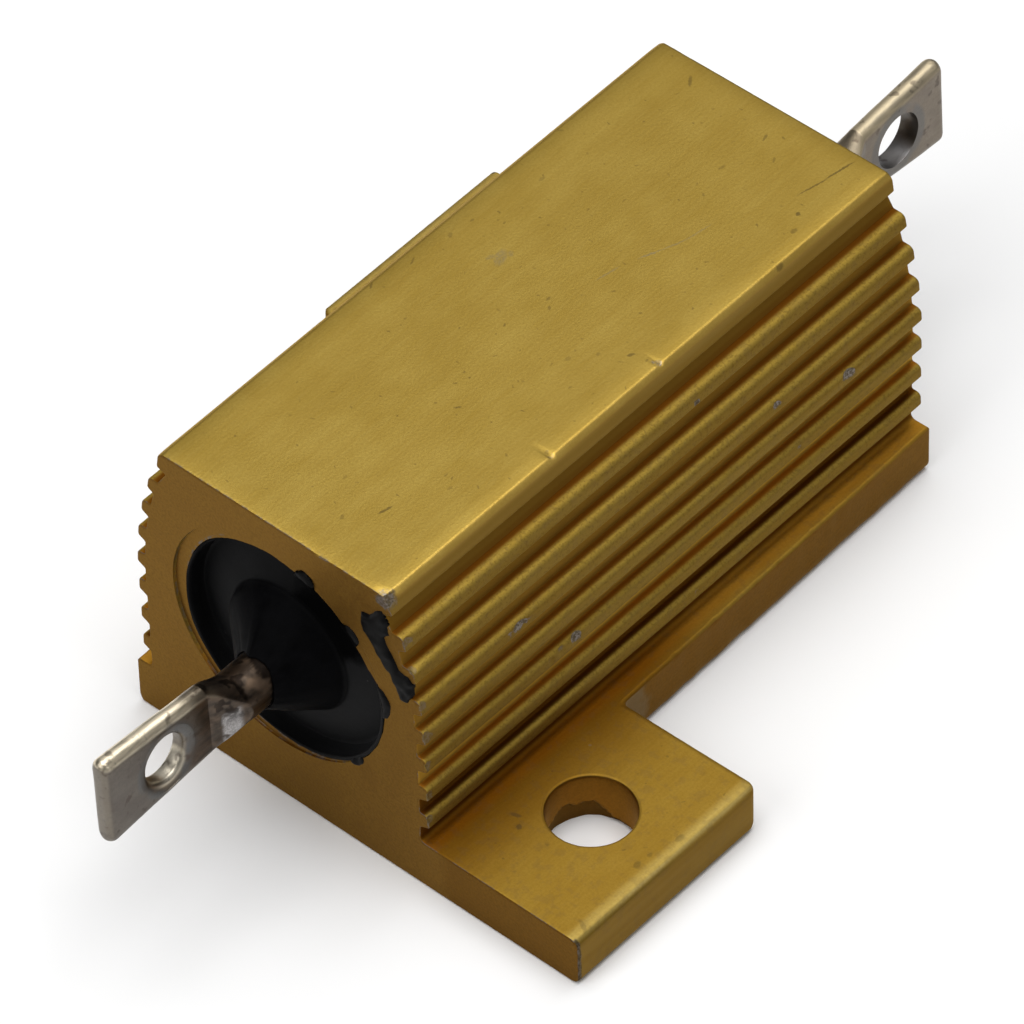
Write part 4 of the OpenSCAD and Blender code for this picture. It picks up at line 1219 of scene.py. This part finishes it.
def plain_material(name, a, b, rough, metal, stretch=(1, 1, 1), scale=2.0):
    m = Mat(name, a, rough, metal)
    n = m.noise(m.co, scale, 4.0, 0.6, stretch=stretch)
    g = m.noise(m.co, scale * 6, 2.0, 0.6)
    c = m.mix(m.remap(n, 0.35, 0.68, smooth=False), a, b)
    m.link(c, m.b.inputs["Base Color"])
    m.link(m.remap(g, 0.3, 0.7, rough - 0.06, rough + 0.08, smooth=False), m.b.inputs["Roughness"])
    m.bump(m.math("ADD", n, m.math("MULTIPLY", g, 0.3)), 0.4, 0.00002)
    return m.m


gold = gold_material()
silicone = silicone_material()
tin = lug_material()


def finish_with(ob, mat):
    ob.data.materials.clear()
    ob.data.materials.append(mat)
    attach(ob, "root")


finish_with(housing, gold)
finish_with(moulding, silicone)
finish_with(smears, silicone)
finish_with(front_lug, tin)
finish_with(rear_lug, tin)
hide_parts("housing")
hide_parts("moulding")
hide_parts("front_lug")
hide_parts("rear_lug")

NODE_MATS = {
    "ceramic_core": plain_material("fired_ceramic", (0.80, 0.77, 0.70), (0.88, 0.86, 0.80), 0.72, 0.0),
    "winding": plain_material("drawn_resistance_wire", (0.34, 0.33, 0.31), (0.48, 0.47, 0.45), 0.33, 1.0, (1, 4, 4)),
    "front_end_cap": plain_material("pressed_steel_cap", (0.42, 0.42, 0.42), (0.56, 0.56, 0.57), 0.30, 1.0, (4, 1, 1)),
}
NODE_MATS["rear_end_cap"] = NODE_MATS["front_end_cap"]
NODE_MATS.update({"housing": gold, "moulding": silicone, "front_lug": tin, "rear_lug": tin})
for n, o in frame["nodes"].items():
    o.data.materials.clear()
    o.data.materials.append(NODE_MATS[n])

# ---------------------------------------------------------------- floor and light

def floor():
    me = bpy.data.meshes.new("floor")
    s = 0.9
    me.from_pydata([(-s, -s, 0), (s, -s, 0), (s, s, 0), (-s, s, 0)], [], [(0, 1, 2, 3)])
    ob = bpy.data.objects.new("floor", me)
    bpy.context.scene.collection.objects.link(ob)
    m = Mat("pale_board", (0.86, 0.86, 0.86), 0.9, 0.0)
    n = m.noise(m.co, 0.02, 3.0, 0.5)
    m.link(m.mix(n, (0.85, 0.85, 0.85), (0.87, 0.87, 0.87)), m.b.inputs["Base Color"])
    me.materials.append(m.m)


def softbox(name, at, target, size, power, colour=(1, 1, 1)):
    L = bpy.data.lights.new(name, "AREA")
    L.shape = "RECTANGLE"
    L.size, L.size_y = size
    L.energy = power
    L.color = colour
    ob = bpy.data.objects.new(name, L)
    ob.location = at
    d = Vector(target) - Vector(at)
    ob.rotation_euler = d.to_track_quat("-Z", "Y").to_euler()
    bpy.context.scene.collection.objects.link(ob)


floor()
softbox("key_above", (-0.02, -0.02, 0.60), (0, 0, 0), (0.50, 0.50), 3.3)
softbox("strip_right", (0.36, 0.06, 0.58), (0, 0, 0), (0.40, 0.40), 0.62)
softbox("sheet_behind", (0.42, 0.40, 0.50), (0, 0, 0), (0.60, 0.60), 0.40)
softbox("fill_left", (-0.50, 0.10, 0.36), (0, 0, 0), (0.40, 0.40), 1.30)
softbox("fill_front", (0.06, -0.50, 0.40), (0, 0, 0), (0.40, 0.40), 0.33)
w = bpy.data.worlds.new("studio")
bpy.context.scene.world = w
w.use_nodes = True
w.node_tree.nodes["Background"].inputs[0].default_value = (1.0, 1.0, 1.0, 1)
w.node_tree.nodes["Background"].inputs[1].default_value = 0.14
bpy.context.scene.view_settings.view_transform = "Standard"
